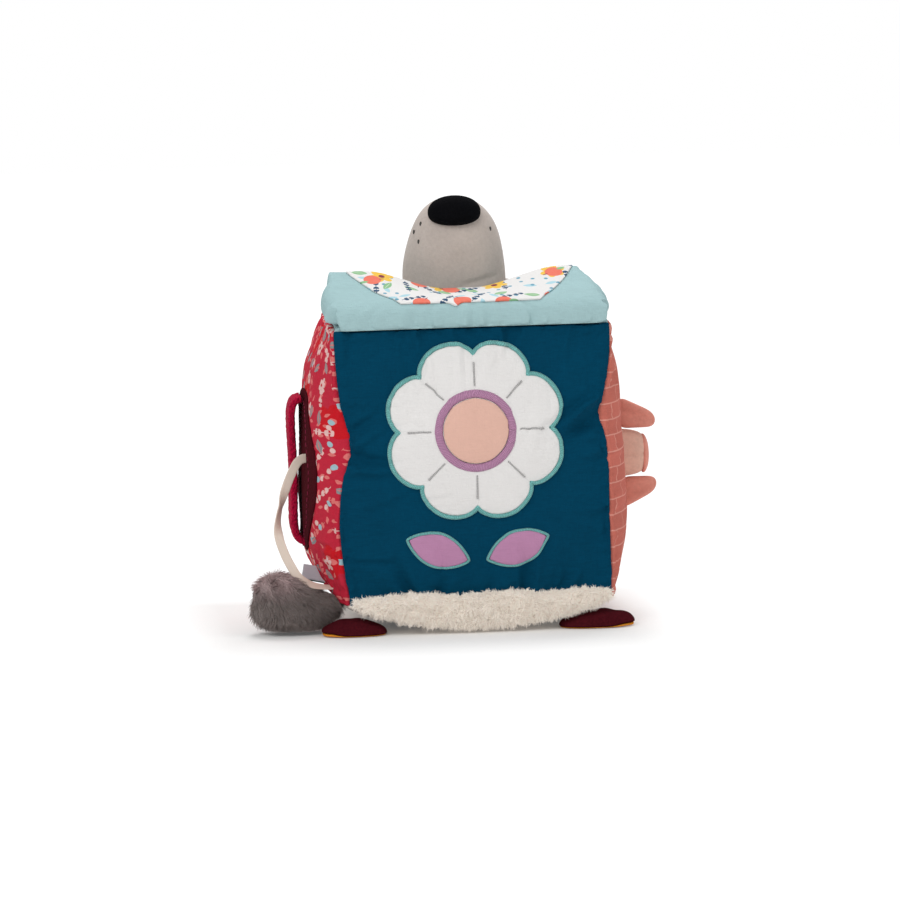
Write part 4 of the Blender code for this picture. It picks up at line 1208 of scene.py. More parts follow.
QUILT_LOW, QUILT_HIGH = box_corners("quilt")
QUILT_FRONT = QUILT_LOW[1]
QUILT_REAR = QUILT_HIGH[1]
QUILT_HALF = 0.0945
QUILT_EDGE = 0.0160
QUILT_REAR_DROP = 0.0004
QUILT_THICKNESS = 0.0070
QUILT_POWER = 26
FRONT_ROLL = 0.017
FRONT_LOW_SHARE = 0.80
SIDE_LOW_SHARE = 0.50
TOP_ZONE = 0.020
HEM_TUCK = 0.0040
HEM_HANG = 0.0016
LOBE_LIFT = 0.0022
CREASE_DEPTH = 0.0036
CREASE_PLACE = 0.06
CREASE_WIDTH = 0.026
SIDE_TUCK = 0.0062
UNDER_FOLD = 0.004
PRINT_FRONT_HALF = 0.046
PRINT_REAR_HALF = 0.0755
PRINT_FRONT_MARGIN = 0.0075
PRINT_REAR_MARGIN = 0.0042
PRINT_NOTCH = 0.0030
PRINT_NOTCH_PLACE = -0.22
PRINT_NOTCH_WIDTH = 0.07

# Left and right: how far the rear corner stands up, and the half width and the roll's width at three places:
# at the hem, of the lobe behind it and at the rear
CORNER_RAISES = (0.0150, 0.0136)
QUILT_HALVES = ((0.0912, 0.0944, 0.0884), (0.0904, 0.0914, 0.0828))
QUILT_ROLLS = ((0.0030, 0.0085, 0.0030), (0.0045, 0.0110, 0.0060))


def from_front(y):
    """0 at the quilt's front hem and 1 at its rear."""
    return np.clip((y - QUILT_FRONT) / (QUILT_REAR - QUILT_FRONT), 0, 1)


def quilt_top(x, y):
    """Height of the quilt's upper side: nearly level in front, with rear corners that stand up."""
    back = from_front(y)
    raised = np.where(x < 0, *CORNER_RAISES) * back**1.5 * smooth(np.abs(x) / QUILT_HALF, 0.10, 0.68)
    height = TOP_SEAM + QUILT_EDGE - QUILT_REAR_DROP * back + raised
    return height + murmur(np.stack((x, y, 0 * x), -1), 0.050, 11) * 0.0007 * smooth(back, 0.05, 0.4)


def side_value(x, y, table):
    """One of the side's sizes at this place, eased between its values at the hem, the lobe and the rear."""
    back = from_front(y)
    hem, lobe, rear = (np.where(x < 0, left, right) for left, right in zip(*table))
    return hem + (lobe - hem) * smooth(back, 0.04, 0.13) + (rear - lobe) * smooth(back, 0.60, 1.0)


def roll_drop(inset, width, height):
    """How far the cloth has come down at this inset from the rim: a quarter ellipse."""
    share = np.clip(1 - inset / width, 0, 1)
    return height * (1 - np.sqrt(1 - share**2.2))


def quilt_drop(x, y):
    """How far the upper side has come down: the front's roll, the sides' and the rear's, joined."""
    edge = quilt_top(x, y) - TOP_SEAM
    half = side_value(x, y, QUILT_HALVES)
    front = roll_drop(y - QUILT_FRONT, FRONT_ROLL, edge * FRONT_LOW_SHARE)
    side = roll_drop(half - np.abs(x), side_value(x, y, QUILT_ROLLS), edge * SIDE_LOW_SHARE)
    rear = roll_drop(QUILT_REAR - y, QUILT_THICKNESS / 2, QUILT_THICKNESS / 2)
    return np.minimum((front**5 + side**5 + rear**5) ** 0.2, edge * (FRONT_LOW_SHARE + 0.04))


def quilt_shell():
    """The quilt as rings round its rim: from the middle of the top out to where it is widest, then a quarter
    ellipse in to the hem, and back beneath. At the rear it is as thin as its padding.
    """
    turn = full_turn(640)
    middle_y, half_depth = middle_and_half(QUILT_FRONT, QUILT_REAR)
    c, s = np.cos(turn), np.sin(turn)
    grow = (np.abs(c) ** QUILT_POWER + np.abs(s) ** QUILT_POWER) ** (-1 / QUILT_POWER)
    rim_y = middle_y + s * grow * half_depth
    back = (s * grow + 1) / 2
    crease = CREASE_DEPTH * bell(back - CREASE_PLACE, CREASE_WIDTH)
    rim_x = c * grow * (side_value(c, rim_y, QUILT_HALVES) - crease)
    length = np.hypot(rim_x, rim_y - middle_y)
    inward = np.stack((-rim_x, middle_y - rim_y), -1) / length[:, None]
    rear = smooth(back, 0.994, 0.999) * smooth(-np.abs(c * grow), -0.985, -0.93)
    front = smooth(-s * grow, 0.90, 0.98)
    rim_edge = quilt_top(rim_x, rim_y) - TOP_SEAM + HEM_HANG * front - LOBE_LIFT * (1 - front)
    rim_edge = rim_edge * (1 - rear) + QUILT_THICKNESS * rear
    low = quilt_drop(rim_x, rim_y)
    tuck = (SIDE_TUCK + (HEM_TUCK - SIDE_TUCK) * front) * (1 - rear) + QUILT_THICKNESS / 2 * rear
    beneath = np.minimum(QUILT_THICKNESS, rim_edge * 0.9)

    def ring_points(inset, drop=None):
        x, y = rim_x + inward[:, 0] * inset, rim_y + inward[:, 1] * inset
        return np.stack((x, y, quilt_top(x, y) - (quilt_drop(x, y) if drop is None else drop)), -1)

    eased = np.sin(np.linspace(0, np.pi / 2, 30))[1:, None]
    flat = np.linspace(1, 0, 30)[:, None] ** 1.2
    upper = ring_points(np.concatenate((
        TOP_ZONE + (length - TOP_ZONE) * flat,
        TOP_ZONE * (1 - eased) + 0 * length,
    )))
    turned = np.linspace(0, np.pi / 2, 12)[1:, None]
    under = np.linspace(0, 1, 16)[1:, None] ** 0.9
    inset = np.concatenate((
        tuck * (1 - np.cos(turned)),
        tuck + UNDER_FOLD * np.sin(turned),
        tuck + UNDER_FOLD + (length - tuck - UNDER_FOLD) * under,
    ))
    drop = np.concatenate((
        low + (rim_edge - low) * np.sin(turned),
        beneath + (rim_edge - beneath) * np.cos(turned),
        beneath + 0 * under,
    ))
    lower = ring_points(inset, drop)
    points = np.concatenate((upper, lower))

    down = np.clip(quilt_top(points[..., 0], points[..., 1]) - points[..., 2], 0, None)
    rim_length = run_length(np.stack((rim_x, rim_y), -1))
    rows = np.arange(len(points))[:, None]
    showing = smooth(rows, 30, 46) * (1 - smooth(rows, 68, 72)) * (1 - rear)
    to_hem = np.clip(rim_edge - down, 0, None)
    pucker = gathers(to_hem, rim_length + 0 * down, sizes().pucker * 2.0, 31, 0.012, 0.019)
    outward = np.concatenate((-inward, 0 * inward[:, :1]), 1)
    return points + outward[None] * (pucker * showing)[..., None]


class FABRICBLOCK_OT_quilt(bpy.types.Operator):
    """Sew the padded quilt and the printed field on it"""

    bl_idname = "fabricblock.quilt"
    bl_label = "Quilt"

    def execute(self, context):
        mesh = shell("quilt_cloth", quilt_shell())
        piece(mesh, "quilt", aqua_muslin(), ("quilt",))

        across = np.linspace(-1, 1, 150)[None, :]
        back = np.linspace(0, 1, 90)[:, None]
        notch = PRINT_NOTCH * bell(across - PRINT_NOTCH_PLACE, PRINT_NOTCH_WIDTH)
        front_y = QUILT_FRONT + PRINT_FRONT_MARGIN - notch
        rear_y = QUILT_REAR - PRINT_REAR_MARGIN
        x = across * (PRINT_FRONT_HALF + (PRINT_REAR_HALF - PRINT_FRONT_HALF) * back**0.85)
        y = front_y + (rear_y - front_y) * back
        x, y = np.broadcast_arrays(x, y)
        height = quilt_top(x, y) - quilt_drop(x, y)
        high = np.stack((x, y - SKIN_GAP, height + SKIN_GAP + CLOTH_THICKNESS), -1)
        low = np.stack((x, y, height + SKIN_GAP * 0.4), -1)
        field = slab("printed_field", high, low)
        piece(field, "quilt", orchard_print("Orchard print muslin"), ("quilt_print",))
        return {"FINISHED"}


# The plush head pad, muzzle and nose

PAD_LOW, PAD_HIGH = box_corners("head_pad")
_, MUZZLE_HIGH = box_corners("muzzle")
NOSE_LOW, NOSE_HIGH = box_corners("nose")
PAD_MIDDLE = (PAD_LOW + PAD_HIGH) / 2
MUZZLE_WIDEST = 0.216
MUZZLE_HALF_WIDTH = MUZZLE_HIGH[0] + 0.0008
MUZZLE_HALF_DEPTH = 0.029
MUZZLE_TOP = MUZZLE_HIGH[2]
MUZZLE_LEAN = 0.006
MUZZLE_POWER = 2.35
MUZZLE_ASIDE = 0.0010
MUZZLE_ROUNDNESS = 0.92
MUZZLE_BOTTOM = TOP_SEAM + 0.004
NECK_CREASE_HEIGHT = 0.2185
NECK_CREASE_SLOPE = 0.22
NECK_CREASE_WIDTH = 0.0022
NECK_CREASE_DEPTH = 0.0014
NOSE_HALF = (0.0177, 0.0135, 0.0108)

# The stitched dots on the muzzle: half their size, and of each the distance across and the height
WHISKER_DOT_SIZE = (0.0008, 0.0004, 0.0016)
WHISKER_DOTS = ((-0.0232, 0.2606), (-0.0275, 0.2550), (-0.0252, 0.2490), (0.0232, 0.2560))


def muzzle_size(z):
    """The muzzle's width at a height, as a share of its widest, and how far it leans forward there."""
    up = np.clip((z - MUZZLE_WIDEST) / (MUZZLE_TOP - MUZZLE_WIDEST), 0, 1)
    return (1 - up**MUZZLE_POWER) ** (1 / MUZZLE_POWER), MUZZLE_LEAN * smooth(z, TOP_SEAM, MUZZLE_TOP)


def muzzle_surface(rows=110, columns=150):
    """Rings up the muzzle, a rounded cone above its widest that eases in a little below."""
    share = np.linspace(0, 1, rows)[:, None] ** 0.9
    turn = full_turn(columns)[None, :]
    z = MUZZLE_BOTTOM + (MUZZLE_TOP - MUZZLE_BOTTOM) * np.sin(share * np.pi / 2) ** 0.9
    under = np.clip((MUZZLE_WIDEST - z) / (MUZZLE_WIDEST - MUZZLE_BOTTOM), 0, 1)
    size, lean = muzzle_size(z)
    size = size * (1 - 0.06 * under**2)
    size[0] = 0
    x = MUZZLE_HALF_WIDTH * size * round_power(np.cos(turn), MUZZLE_ROUNDNESS)
    y = PAD_MIDDLE[1] - lean + MUZZLE_HALF_DEPTH * size * round_power(np.sin(turn), MUZZLE_ROUNDNESS)
    points = np.stack(np.broadcast_arrays(x, y, z + 0 * turn), -1).copy()
    points[..., 0] += murmur(points, 0.04, 3) * 0.0005 + MUZZLE_ASIDE
    above = points[..., 2] - NECK_CREASE_HEIGHT - points[..., 0] * NECK_CREASE_SLOPE
    crease = bell(above, NECK_CREASE_WIDTH)
    facing = smooth(-points[..., 1], -PAD_MIDDLE[1] + 0.016, -PAD_MIDDLE[1] + 0.026)
    points[..., 1] += crease * facing * smooth(points[..., 0], -0.004, 0.010) * NECK_CREASE_DEPTH
    return points


def whisker_dot(x, z):
    """A stitched dot on the muzzle's front, at this distance across and this height."""
    size, lean = muzzle_size(z)
    across = min(abs(x) / (MUZZLE_HALF_WIDTH * size), 1) ** (1 / MUZZLE_ROUNDNESS)
    deep = MUZZLE_HALF_DEPTH * size * math.sqrt(1 - across**2) ** MUZZLE_ROUNDNESS
    place = np.array((x + MUZZLE_ASIDE, PAD_MIDDLE[1] - lean - deep, z))
    return shell("dot", place + np.stack(ball(8, 12), -1) * WHISKER_DOT_SIZE)


class FABRICBLOCK_OT_head(bpy.types.Operator):
    """Make the plush head pad, the muzzle with its nap, the velour nose and the stitched dots"""

    bl_idname = "fabricblock.head"
    bl_label = "Plush muzzle"

    def execute(self, context):
        dyes = colours()
        grey = plush("Grey plush", dyes.plush)
        x, y, z = (round_power(value, 0.85) for value in ball(60, 110))
        _, half = middle_and_half(PAD_LOW, PAD_HIGH)
        rise = PAD_HIGH[2] - TOP_SEAM
        pad = np.stack((x * half[0], PAD_MIDDLE[1] + y * half[1], TOP_SEAM + z * rise), -1)
        across, deep = pad[..., 0] / HALF_WIDTH, pad[..., 1] / HALF_DEPTH
        floor = skins["top"].at(across, deep, np.full(x.shape, SKIN_GAP))
        pad[..., 2] = np.maximum(pad[..., 2], floor[..., 2])
        piece(shell("head_pad_plush", pad), "block", grey, ("head_pad",))
        mesh = shell("muzzle_plush", muzzle_surface())
        piece(mesh, "block", grey, ("muzzle",))

        x, y, z = (round_power(value, 0.96) for value in ball(50, 90))
        z = np.where(z < 0, round_power(z, 0.75) * 0.88, z)
        middle_y, middle_z = NOSE_LOW[1] + NOSE_HALF[1], NOSE_HIGH[2] - NOSE_HALF[2]
        nose = np.stack((x * NOSE_HALF[0], middle_y + y * NOSE_HALF[1], middle_z + z * NOSE_HALF[2]), -1)
        mesh = shell("nose_velour", nose)
        black = plush("Black velour", dyes.velour, nap=700, contrast=0.4, sheen=0.01)
        piece(mesh, "block", black, ("nose",))
        dots = [whisker_dot(x, z) for x, z in WHISKER_DOTS]
        thread = cotton("Whisker thread", (0.09, 0.085, 0.08))
        piece(join_meshes("whisker_dots", dots), "block", thread)
        return {"FINISHED"}


# The hand strap, its felt patch and its stitches

STRAP_LOW, STRAP_HIGH = box_corners("hand_strap")
BACKING_LOW, BACKING_HIGH = box_corners("strap_backing")
STRAP_THICKNESS = 0.0050
STRAP_INWARD = 0.0024
FELT_THICKNESS = 0.0012
PATCH_FORWARD = 0.18
STITCH_RIM = 0.88
STITCH_COUNT = 64
ON_FELT = SKIN_GAP + FELT_THICKNESS

# The strap's run at its upper end and at its lower one: how far in from its outermost, and how far from
# that end
STRAP_UPPER_BEND = ((0.0060, 0.0), (0.0022, 0.0018), (0.0, 0.0075), (-0.0004, 0.020))
STRAP_LOWER_BEND = ((-0.0002, 0.022), (0.0, 0.011), (0.0022, 0.0034), (0.0062, 0.0004))


def on_left(y, z, out):
    """Lays points of the left side's plane on the left panel's skin."""
    return skins["left"].at(y / HALF_DEPTH, (z - MIDDLE) / HALF_HEIGHT, out)


class FABRICBLOCK_OT_strap(bpy.types.Operator):
    """Sew the felt patch with its running stitch, and the terry hand strap over it"""

    bl_idname = "fabricblock.strap"
    bl_label = "Hand strap"

    def execute(self, context):
        dyes = colours()
        turn = full_turn(160)
        middle, half = middle_and_half(BACKING_LOW, BACKING_HIGH)
        share = np.linspace(0, 1, 30)[:, None]
        y = middle[1] + half[1] * share * np.cos(turn) * (1 + PATCH_FORWARD * np.clip(-np.cos(turn), 0, 1))
        z = middle[2] + half[2] * share * np.sin(turn)
        low = on_left(y, z, np.full_like(y, SKIN_GAP))
        high = on_left(y, z, SKIN_GAP + FELT_THICKNESS * (1 - 0.5 * share**20) * np.ones_like(y))
        burgundy = felt("Burgundy felt", dyes.burgundy)
        mesh = slab("felt_patch", high, low, wrap=True)
        piece(mesh, "block", burgundy, ("strap_backing",))

        stitches = []
        for number in range(STITCH_COUNT):
            angle = 2 * math.pi * (number + np.linspace(0.15, 0.75, 7)) / STITCH_COUNT
            y = middle[1] + half[1] * STITCH_RIM * np.cos(angle)
            z = middle[2] + half[2] * STITCH_RIM * np.sin(angle)
            path = on_left(y, z, np.full_like(y, ON_FELT))
            stitches.append(band("stitch", path, np.tile((-1.0, 0, 0), (7, 1)), 0.0004, 0.0004, 6))
        joined = join_meshes("patch_stitches", stitches)
        piece(joined, "block", cotton("Wine thread", (0.20, 0.02, 0.05)))

        outer = STRAP_LOW[0] + STRAP_INWARD + STRAP_THICKNESS / 2
        top, bottom = STRAP_HIGH[2] - STRAP_THICKNESS / 2, STRAP_LOW[2] + STRAP_THICKNESS / 2
        ends = [on_left(np.array(0.0), np.array(end), np.array(ON_FELT))[0] - 0.0008 for end in (top, bottom)]
        route = np.array((
            (ends[0], 0, top),
            *((outer + inward, 0, top - down) for inward, down in STRAP_UPPER_BEND),
            (outer + 0.0004, 0, (top + bottom) / 2),
            *((outer + inward, 0, bottom + up) for inward, up in STRAP_LOWER_BEND),
            (ends[1], 0, bottom),
        ))
        path, _ = resample(curve_through(route, 12), 90)
        ups = np.cross(unit(np.gradient(path, axis=0)), np.tile((0, 1.0, 0), (90, 1)))
        strap = band("terry_strap", path, ups, STRAP_HIGH[1], STRAP_THICKNESS / 2, 40, power=0.35)
        lumps(strap, 0.0035, 0.00022, 5)
        crimson = terry("Crimson terry", dyes.crimson)
        piece(strap, "block", crimson, ("hand_strap",))
        return {"FINISHED"}


def lumps(mesh, wavelength, height, seed):
    """Moves each point along its normal by soft noise."""
    count = len(mesh.vertices)
    points = np.empty(count * 3, dtype=np.float32)
    normals = np.empty(count * 3, dtype=np.float32)
    mesh.vertices.foreach_get("co", points)
    mesh.vertex_normals.foreach_get("vector", normals)
    points, normals = points.reshape(-1, 3), normals.reshape(-1, 3)
    points = points + normals * (murmur(points, wavelength, seed) * height)[:, None]
    mesh.vertices.foreach_set("co", points.ravel())
    mesh.update()


def join_meshes(name, meshes):
    """One mesh of several small ones, which are removed."""
    bm = bmesh.new()
    for mesh in meshes:
        bm.from_mesh(mesh)
        bpy.data.meshes.remove(mesh)
    joined = bpy.data.meshes.new(name)
    bm.to_mesh(joined)
    bm.free()
    joined.shade_smooth()
    return joined


def curve_through(points, between):
    """A smooth curve through points: Catmull-Rom, with so many steps between each pair."""
    points = np.asarray(points, dtype=float)
    padded = np.vstack((2 * points[0] - points[1], points, 2 * points[-1] - points[-2]))
    t = np.arange(between)[:, None] / between
    runs = []
    for p0, p1, p2, p3 in zip(padded, padded[1:], padded[2:], padded[3:]):
        bend = 2 * p0 - 5 * p1 + 4 * p2 - p3
        twist = 3 * p1 - p0 - 3 * p2 + p3
        runs.append(0.5 * (2 * p1 + (p2 - p0) * t + bend * t**2 + twist * t**3))
    return np.vstack((*runs, points[-1:]))


# The ribbon

# Which way the ribbon's broad face looks, by its share of the length: it turns over on its way down
RIBBON_FACES = (
    (0.0, 0.10, -1.0, 0.10),
    (0.22, 0.00, -1.0, 0.20),
    (0.33, 0.95, -0.30, 0.30),
    (0.40, 0.90, -0.55, 0.30),
    (0.52, -0.20, -1.0, 0.00),
    (0.72, -0.35, -1.0, 0.30),
    (0.86, -0.35, -0.60, 0.70),
    (1.0, -0.20, -0.30, 0.95),
)


class FABRICBLOCK_OT_ribbon(bpy.types.Operator):
    bl_idname = "fabricblock.ribbon"
    bl_label = "Ribbon"

    def execute(self, context):
        width = sizes().ribbon_width
        path, length = resample(curve_through(RIBBON_ROUTE, 12), 70)
        ahead = unit(np.gradient(path, axis=0))
        share = np.linspace(0, 1, len(path))
        facing = np.array(RIBBON_FACES)
        broad = unit(np.stack([np.interp(share, facing[:, 0], facing[:, k]) for k in (1, 2, 3)], -1))
        ups = unit(np.cross(np.cross(ahead, broad), ahead))
        mesh = band("satin_ribbon", path, ups, width / 2, sizes().ribbon_thickness / 2, 14, power=0.5)
        obj = piece(mesh, "block", satin("Cream satin", colours().satin), ("ribbon",))
        return {"FINISHED"}


# The tags

TAG_WIDTH = 0.0115
TAG_REACH = 0.0225
TAG_THICKNESS = 0.0010
TAG_ROOT = (-HALF_WIDTH, -0.034, 0.0315)
TAG_TILT = math.radians(15)
TAG_LEAN = math.radians(50)


class FABRICBLOCK_OT_tags(bpy.types.Operator):
    """Make the two blank woven tags at the left panel's lower seam"""

    bl_idname = "fabricblock.tags"
    bl_label = "Tags"

    def execute(self, context):
        tags = (
            ("light_tag", colours().light_tag, "tag_grey", 1, 0.0),
            ("dark_tag", colours().dark_tag, "tag_green", 0, 0.004),
        )
        out = np.array((-math.cos(TAG_TILT), 0, math.sin(TAG_TILT)))
        up = np.array((
            math.sin(TAG_TILT) * math.cos(TAG_LEAN),
            -math.sin(TAG_LEAN),
            math.cos(TAG_TILT) * math.cos(TAG_LEAN),
        ))
        for node, colour, slot, row, short in tags:
            reach = np.linspace(0.004, TAG_REACH - short, 30)[:, None]
            lift = (row * 1.3 + 0.5) * TAG_THICKNESS - 0.0016 * (reach / TAG_REACH) ** 2
            path = np.array(TAG_ROOT) + out * reach + up * lift
            ups = np.tile(up, (len(path), 1))
            mesh = band(node + "_tape", path, ups, TAG_WIDTH / 2, TAG_THICKNESS / 2, 16, power=0.3)
            piece(mesh, "block", satin(node + " tape", colour), (node,))
        return {"FINISHED"}


# The sherpa trim

TRIM_LOW, TRIM_HIGH = box_corners("sherpa_trim")
TRIM_END_RISE = 0.0150
CURL_CLUMPS = 0.0075
CURL_ROOT_DEPTH = 0.0012

# The layers of curls: a name, how many, the seed of their draws, and their length as a share of the pile's
CURL_LAYERS = (("sherpa_curls", 9400, 41, 1.0), ("sherpa_tufts", 8000, 61, 1.25))


def trim_surface(rows=150, columns=60):
    """A fleece roll along the front's lower edge: an oval carried along it, which rises to its ends."""
    share = np.linspace(-1, 1, rows)[:, None]
    turn = full_turn(columns)[None, :]
    end = (1 - np.abs(share) ** 14) ** 0.5
    bottom = TRIM_LOW[2] - 0.0005 + TRIM_END_RISE * np.abs(share) ** 1.7
    top = TRIM_HIGH[2] - 0.0058 + 0.0010 * np.sin(share * 9)
    middle_z, half_height = middle_and_half(bottom, top)
    middle_y, half_depth = middle_and_half(TRIM_LOW[1] + 0.0012, -HALF_DEPTH + 0.002)
    x = 0.0015 + share * (TRIM_HIGH[0] - 0.003) + 0 * turn
    y = middle_y + half_depth * round_power(np.cos(turn), 0.8) * end
    z = middle_z + half_height * end * round_power(np.sin(turn), 0.85)
    points = np.stack((x, y, z), -1)
    points[..., 1] += murmur(points, 0.008, 21) * 0.0011
    points[..., 2] += murmur(points, 0.008, 22) * 0.0008
    return points


class FABRICBLOCK_OT_trim(bpy.types.Operator):
    """Make the sherpa trim with its curls"""

    bl_idname = "fabricblock.trim"
    bl_label = "Sherpa trim"

    def execute(self, context):
        dyes = colours()
        points = trim_surface()
        skin = plush("Sherpa skin", tint(dyes.fleece, 1.05), nap=260, relief=0.0012)
        piece(shell("sherpa_roll", points), "block", skin, ("sherpa_trim",))
        # The curls' glow of 0.13 is painted light, for the light scattered within the pile
        fleece = pile("Sherpa curls", tint(dyes.fleece, 0.98), tint(dyes.fleece, 1.16), 90, 0.13)
        for name, count, seed, share in CURL_LAYERS:
            roots, ways, clump, rng = rooted(points, count, seed, CURL_CLUMPS)
            ways = unit(ways + clump * 0.8 + rng.normal(size=roots.shape) * 0.22)
            lengths = sizes().fleece_pile * share * rng.uniform(0.6, 1.15, len(roots))
            fall = np.zeros_like(roots)
            fall[:, 2] = -0.0010
            fall[:, 0] = clump[:, 0] * 0.0012
            roots = roots - ways * CURL_ROOT_DEPTH
            lengths = np.minimum(lengths, np.maximum(roots[:, 2] - 0.0012, 0.0015))
            curls = strands(name, roots, ways, lengths, 0.00085, 3, 0.0009, 0.8, fall, seed + 5)
            piece(curls, "block", fleece)
        return {"FINISHED"}


# The tail

TAIL_LOW, TAIL_HIGH = box_corners("tail")
TAIL_RADIUS = 0.0205
TAIL_PILE_ROOM = 0.0018
TAIL_ROOT_SHARE = 0.50
TAIL_ROOT_HEIGHT = 0.0195
TAIL_LIE = 0.0035
HAIR_CLUMPS = 0.014
HAIR_COMB = np.array((0.60, -0.20, -0.50))
HAIR_ROOT_DEPTH = 0.0015

# The layers of hair, as of the curls
HAIR_LAYERS = (("tail_hair", 9400, 51, 1.0), ("tail_underfur", 9000, 71, 0.75))


def tail_surface(rows=60, columns=80):
    """A teardrop that swells evenly from its root and comes down to lie on the floor."""
    down = np.linspace(0, np.pi, rows)[:, None]
    turn = full_turn(columns)[None, :]
    along = (1 - np.cos(down)) / 2
    ring = np.sin(down) ** 0.8
    swell = TAIL_ROOT_SHARE + (1 - TAIL_ROOT_SHARE) * smooth(along, 0.0, 0.72)
    radius = (TAIL_RADIUS - TAIL_PILE_ROOM) * swell
    lying = np.minimum(along * 2, 1)
    height = (TAIL_LIE + radius) * lying + TAIL_ROOT_HEIGHT * (1 - lying)
    length = TAIL_HIGH[0] - TAIL_LOW[0] - 0.004
    x = TAIL_HIGH[0] - length * along + 0 * turn
    y = (TAIL_LOW[1] + TAIL_HIGH[1]) / 2 + radius * ring * np.cos(turn)
    z = height + radius * ring * np.sin(turn)
    return np.stack((x, y, z), -1)


class FABRICBLOCK_OT_tail(bpy.types.Operator):
    """Make the tail with its long pile"""

    bl_idname = "fabricblock.tail"
    bl_label = "Tail"

    def execute(self, context):
        dyes = colours()
        points = tail_surface()
        skin = plush("Tail skin", tint(dyes.fur, 0.7), nap=300)
        piece(shell("tail_body", points), "tail", skin, ("tail",))
        # The last colour is a painted highlight on the tail's upper side towards its left end
        fur = pile("Tail hair", tint(dyes.fur, 0.60), tint(dyes.fur, 1.35), 70, 0.0, (0.50, 0.36, 0.36))
        for name, count, seed, share in HAIR_LAYERS:
            roots, ways, clump, rng = rooted(points, count, seed, HAIR_CLUMPS)
            lean = HAIR_COMB * (0.9 + 0.3 * clump[:, :1])
            ways = unit(ways * 0.62 + lean + clump * 0.30 + rng.normal(size=roots.shape) * 0.09)
            lengths = sizes().fur_pile * share * rng.uniform(0.6, 1.1, len(roots))
            fall = np.zeros_like(roots)
            fall[:, 1] = clump[:, 1] * 0.0016
            fall[:, 2] = -np.minimum(0.0020, np.maximum(roots[:, 2] - 0.002, 0) * 0.3)
            room = (roots[:, 2] - 0.0012) / np.maximum(-ways[:, 2] + 0.25, 0.05)
            lengths = np.clip(lengths, 0.001, np.maximum(room, 0.0012))
            roots = roots - ways * HAIR_ROOT_DEPTH
            hair = strands(name, roots, ways, lengths, 0.00055, 3, 0.0, 1.0, fall, seed + 5)
            piece(hair, "tail", fur)
        return {"FINISHED"}


# The feet

UPPER_OVERHANG = 0.0017

# How much lower each foot is at its toe, and how far its inner end is drawn under the trim
TOE_DROPS = {"left": 0.55, "right": 0.25}
INNER_ENDS = {"left": 0.007, "right": 0.0}


def foot_box(kind, word):
    """A foot's or sole's box with its inner end drawn in: its corners, which side, its middle and halves."""
    low, high = box_corners(kind + "_" + word)
    middle, half = middle_and_half(low, high)
    side = np.sign(low[0] + high[0])
    shorter = np.array((side * INNER_ENDS[word] / 2, 0, 0))
    return low, high, side, middle + shorter, half - np.abs(shorter)


def overhang(toe):
    """How far the upper comes down over the sole, by the share of the way to the toe."""
    return UPPER_OVERHANG * (1 - smooth(toe, 0.62, 0.90))


class FABRICBLOCK_OT_feet(bpy.types.Operator):
    """Make the felt feet with their soles"""

    bl_idname = "fabricblock.feet"
    bl_label = "Feet"

    def execute(self, context):
        dyes = colours()
        red = felt("Burgundy felt", dyes.burgundy)
        orange = felt("Orange felt", dyes.orange, 0.15)
        for word in ("left", "right"):
            low, high, side, middle, half = foot_box("foot", word)
            x, y, z = (round_power(value, 0.8) for value in ball(44, 90))
            toe = (x * side + 1) / 2
            height = (high[2] - low[2]) * (0.70 + 0.30 * smooth(toe, 0.1, 0.5))
            height = height * (1 - TOE_DROPS[word] * smooth(toe, 0.60, 1.05))
            up = low[2] - overhang(toe) + np.maximum(z, 0) * height
            points = np.stack((middle[0] + x * half[0], middle[1] + y * half[1], up), -1)
            points[..., 2] += murmur(points, 0.014, 61) * 0.0005 * np.clip(z, 0, 1)
            mesh = shell("felt_foot_" + word, points)
            piece(mesh, word + "_foot", red, ("foot_" + word,))

            low, _, side, middle, half = foot_box("sole", word)
            x, y, z = ball(30, 90)
            x, y, z = round_power(x, 0.8), round_power(y, 0.8), round_power(z, 0.4)
            up = low[2] + (z + 1) / 2 * (2 * half[2] - overhang((x * side + 1) / 2))
            points = np.stack((middle[0] + x * half[0], middle[1] + y * half[1], up), -1)
            mesh = shell("felt_sole_" + word, points)
            piece(mesh, word + "_foot", orange, ("sole_" + word,))
        return {"FINISHED"}


# The piglet

SNOUT_SAG = 0.0022
SNOUT_DROP = 0.0008
SNOUT_START = 0.0006
HEAD_FILLING = 0.0006
HEAD_ROOT_DEPTH = 0.004
HEAD_REACH = 0.0062
EAR_ROOT_GROWTH = 1.24
EAR_TAPER = 0.57
EAR_CLOSER = 0.0010


def cushion(rows, columns, squareness):
    """A ball whose rings are swollen: across, up and out, and how wide each ring was."""
    x, y, z = ball(rows, columns)
    ring = np.sqrt(x**2 + y**2)
    x, y = (value / np.maximum(ring, 1e-9) * ring**squareness for value in (x, y))
    return x, y, z, ring


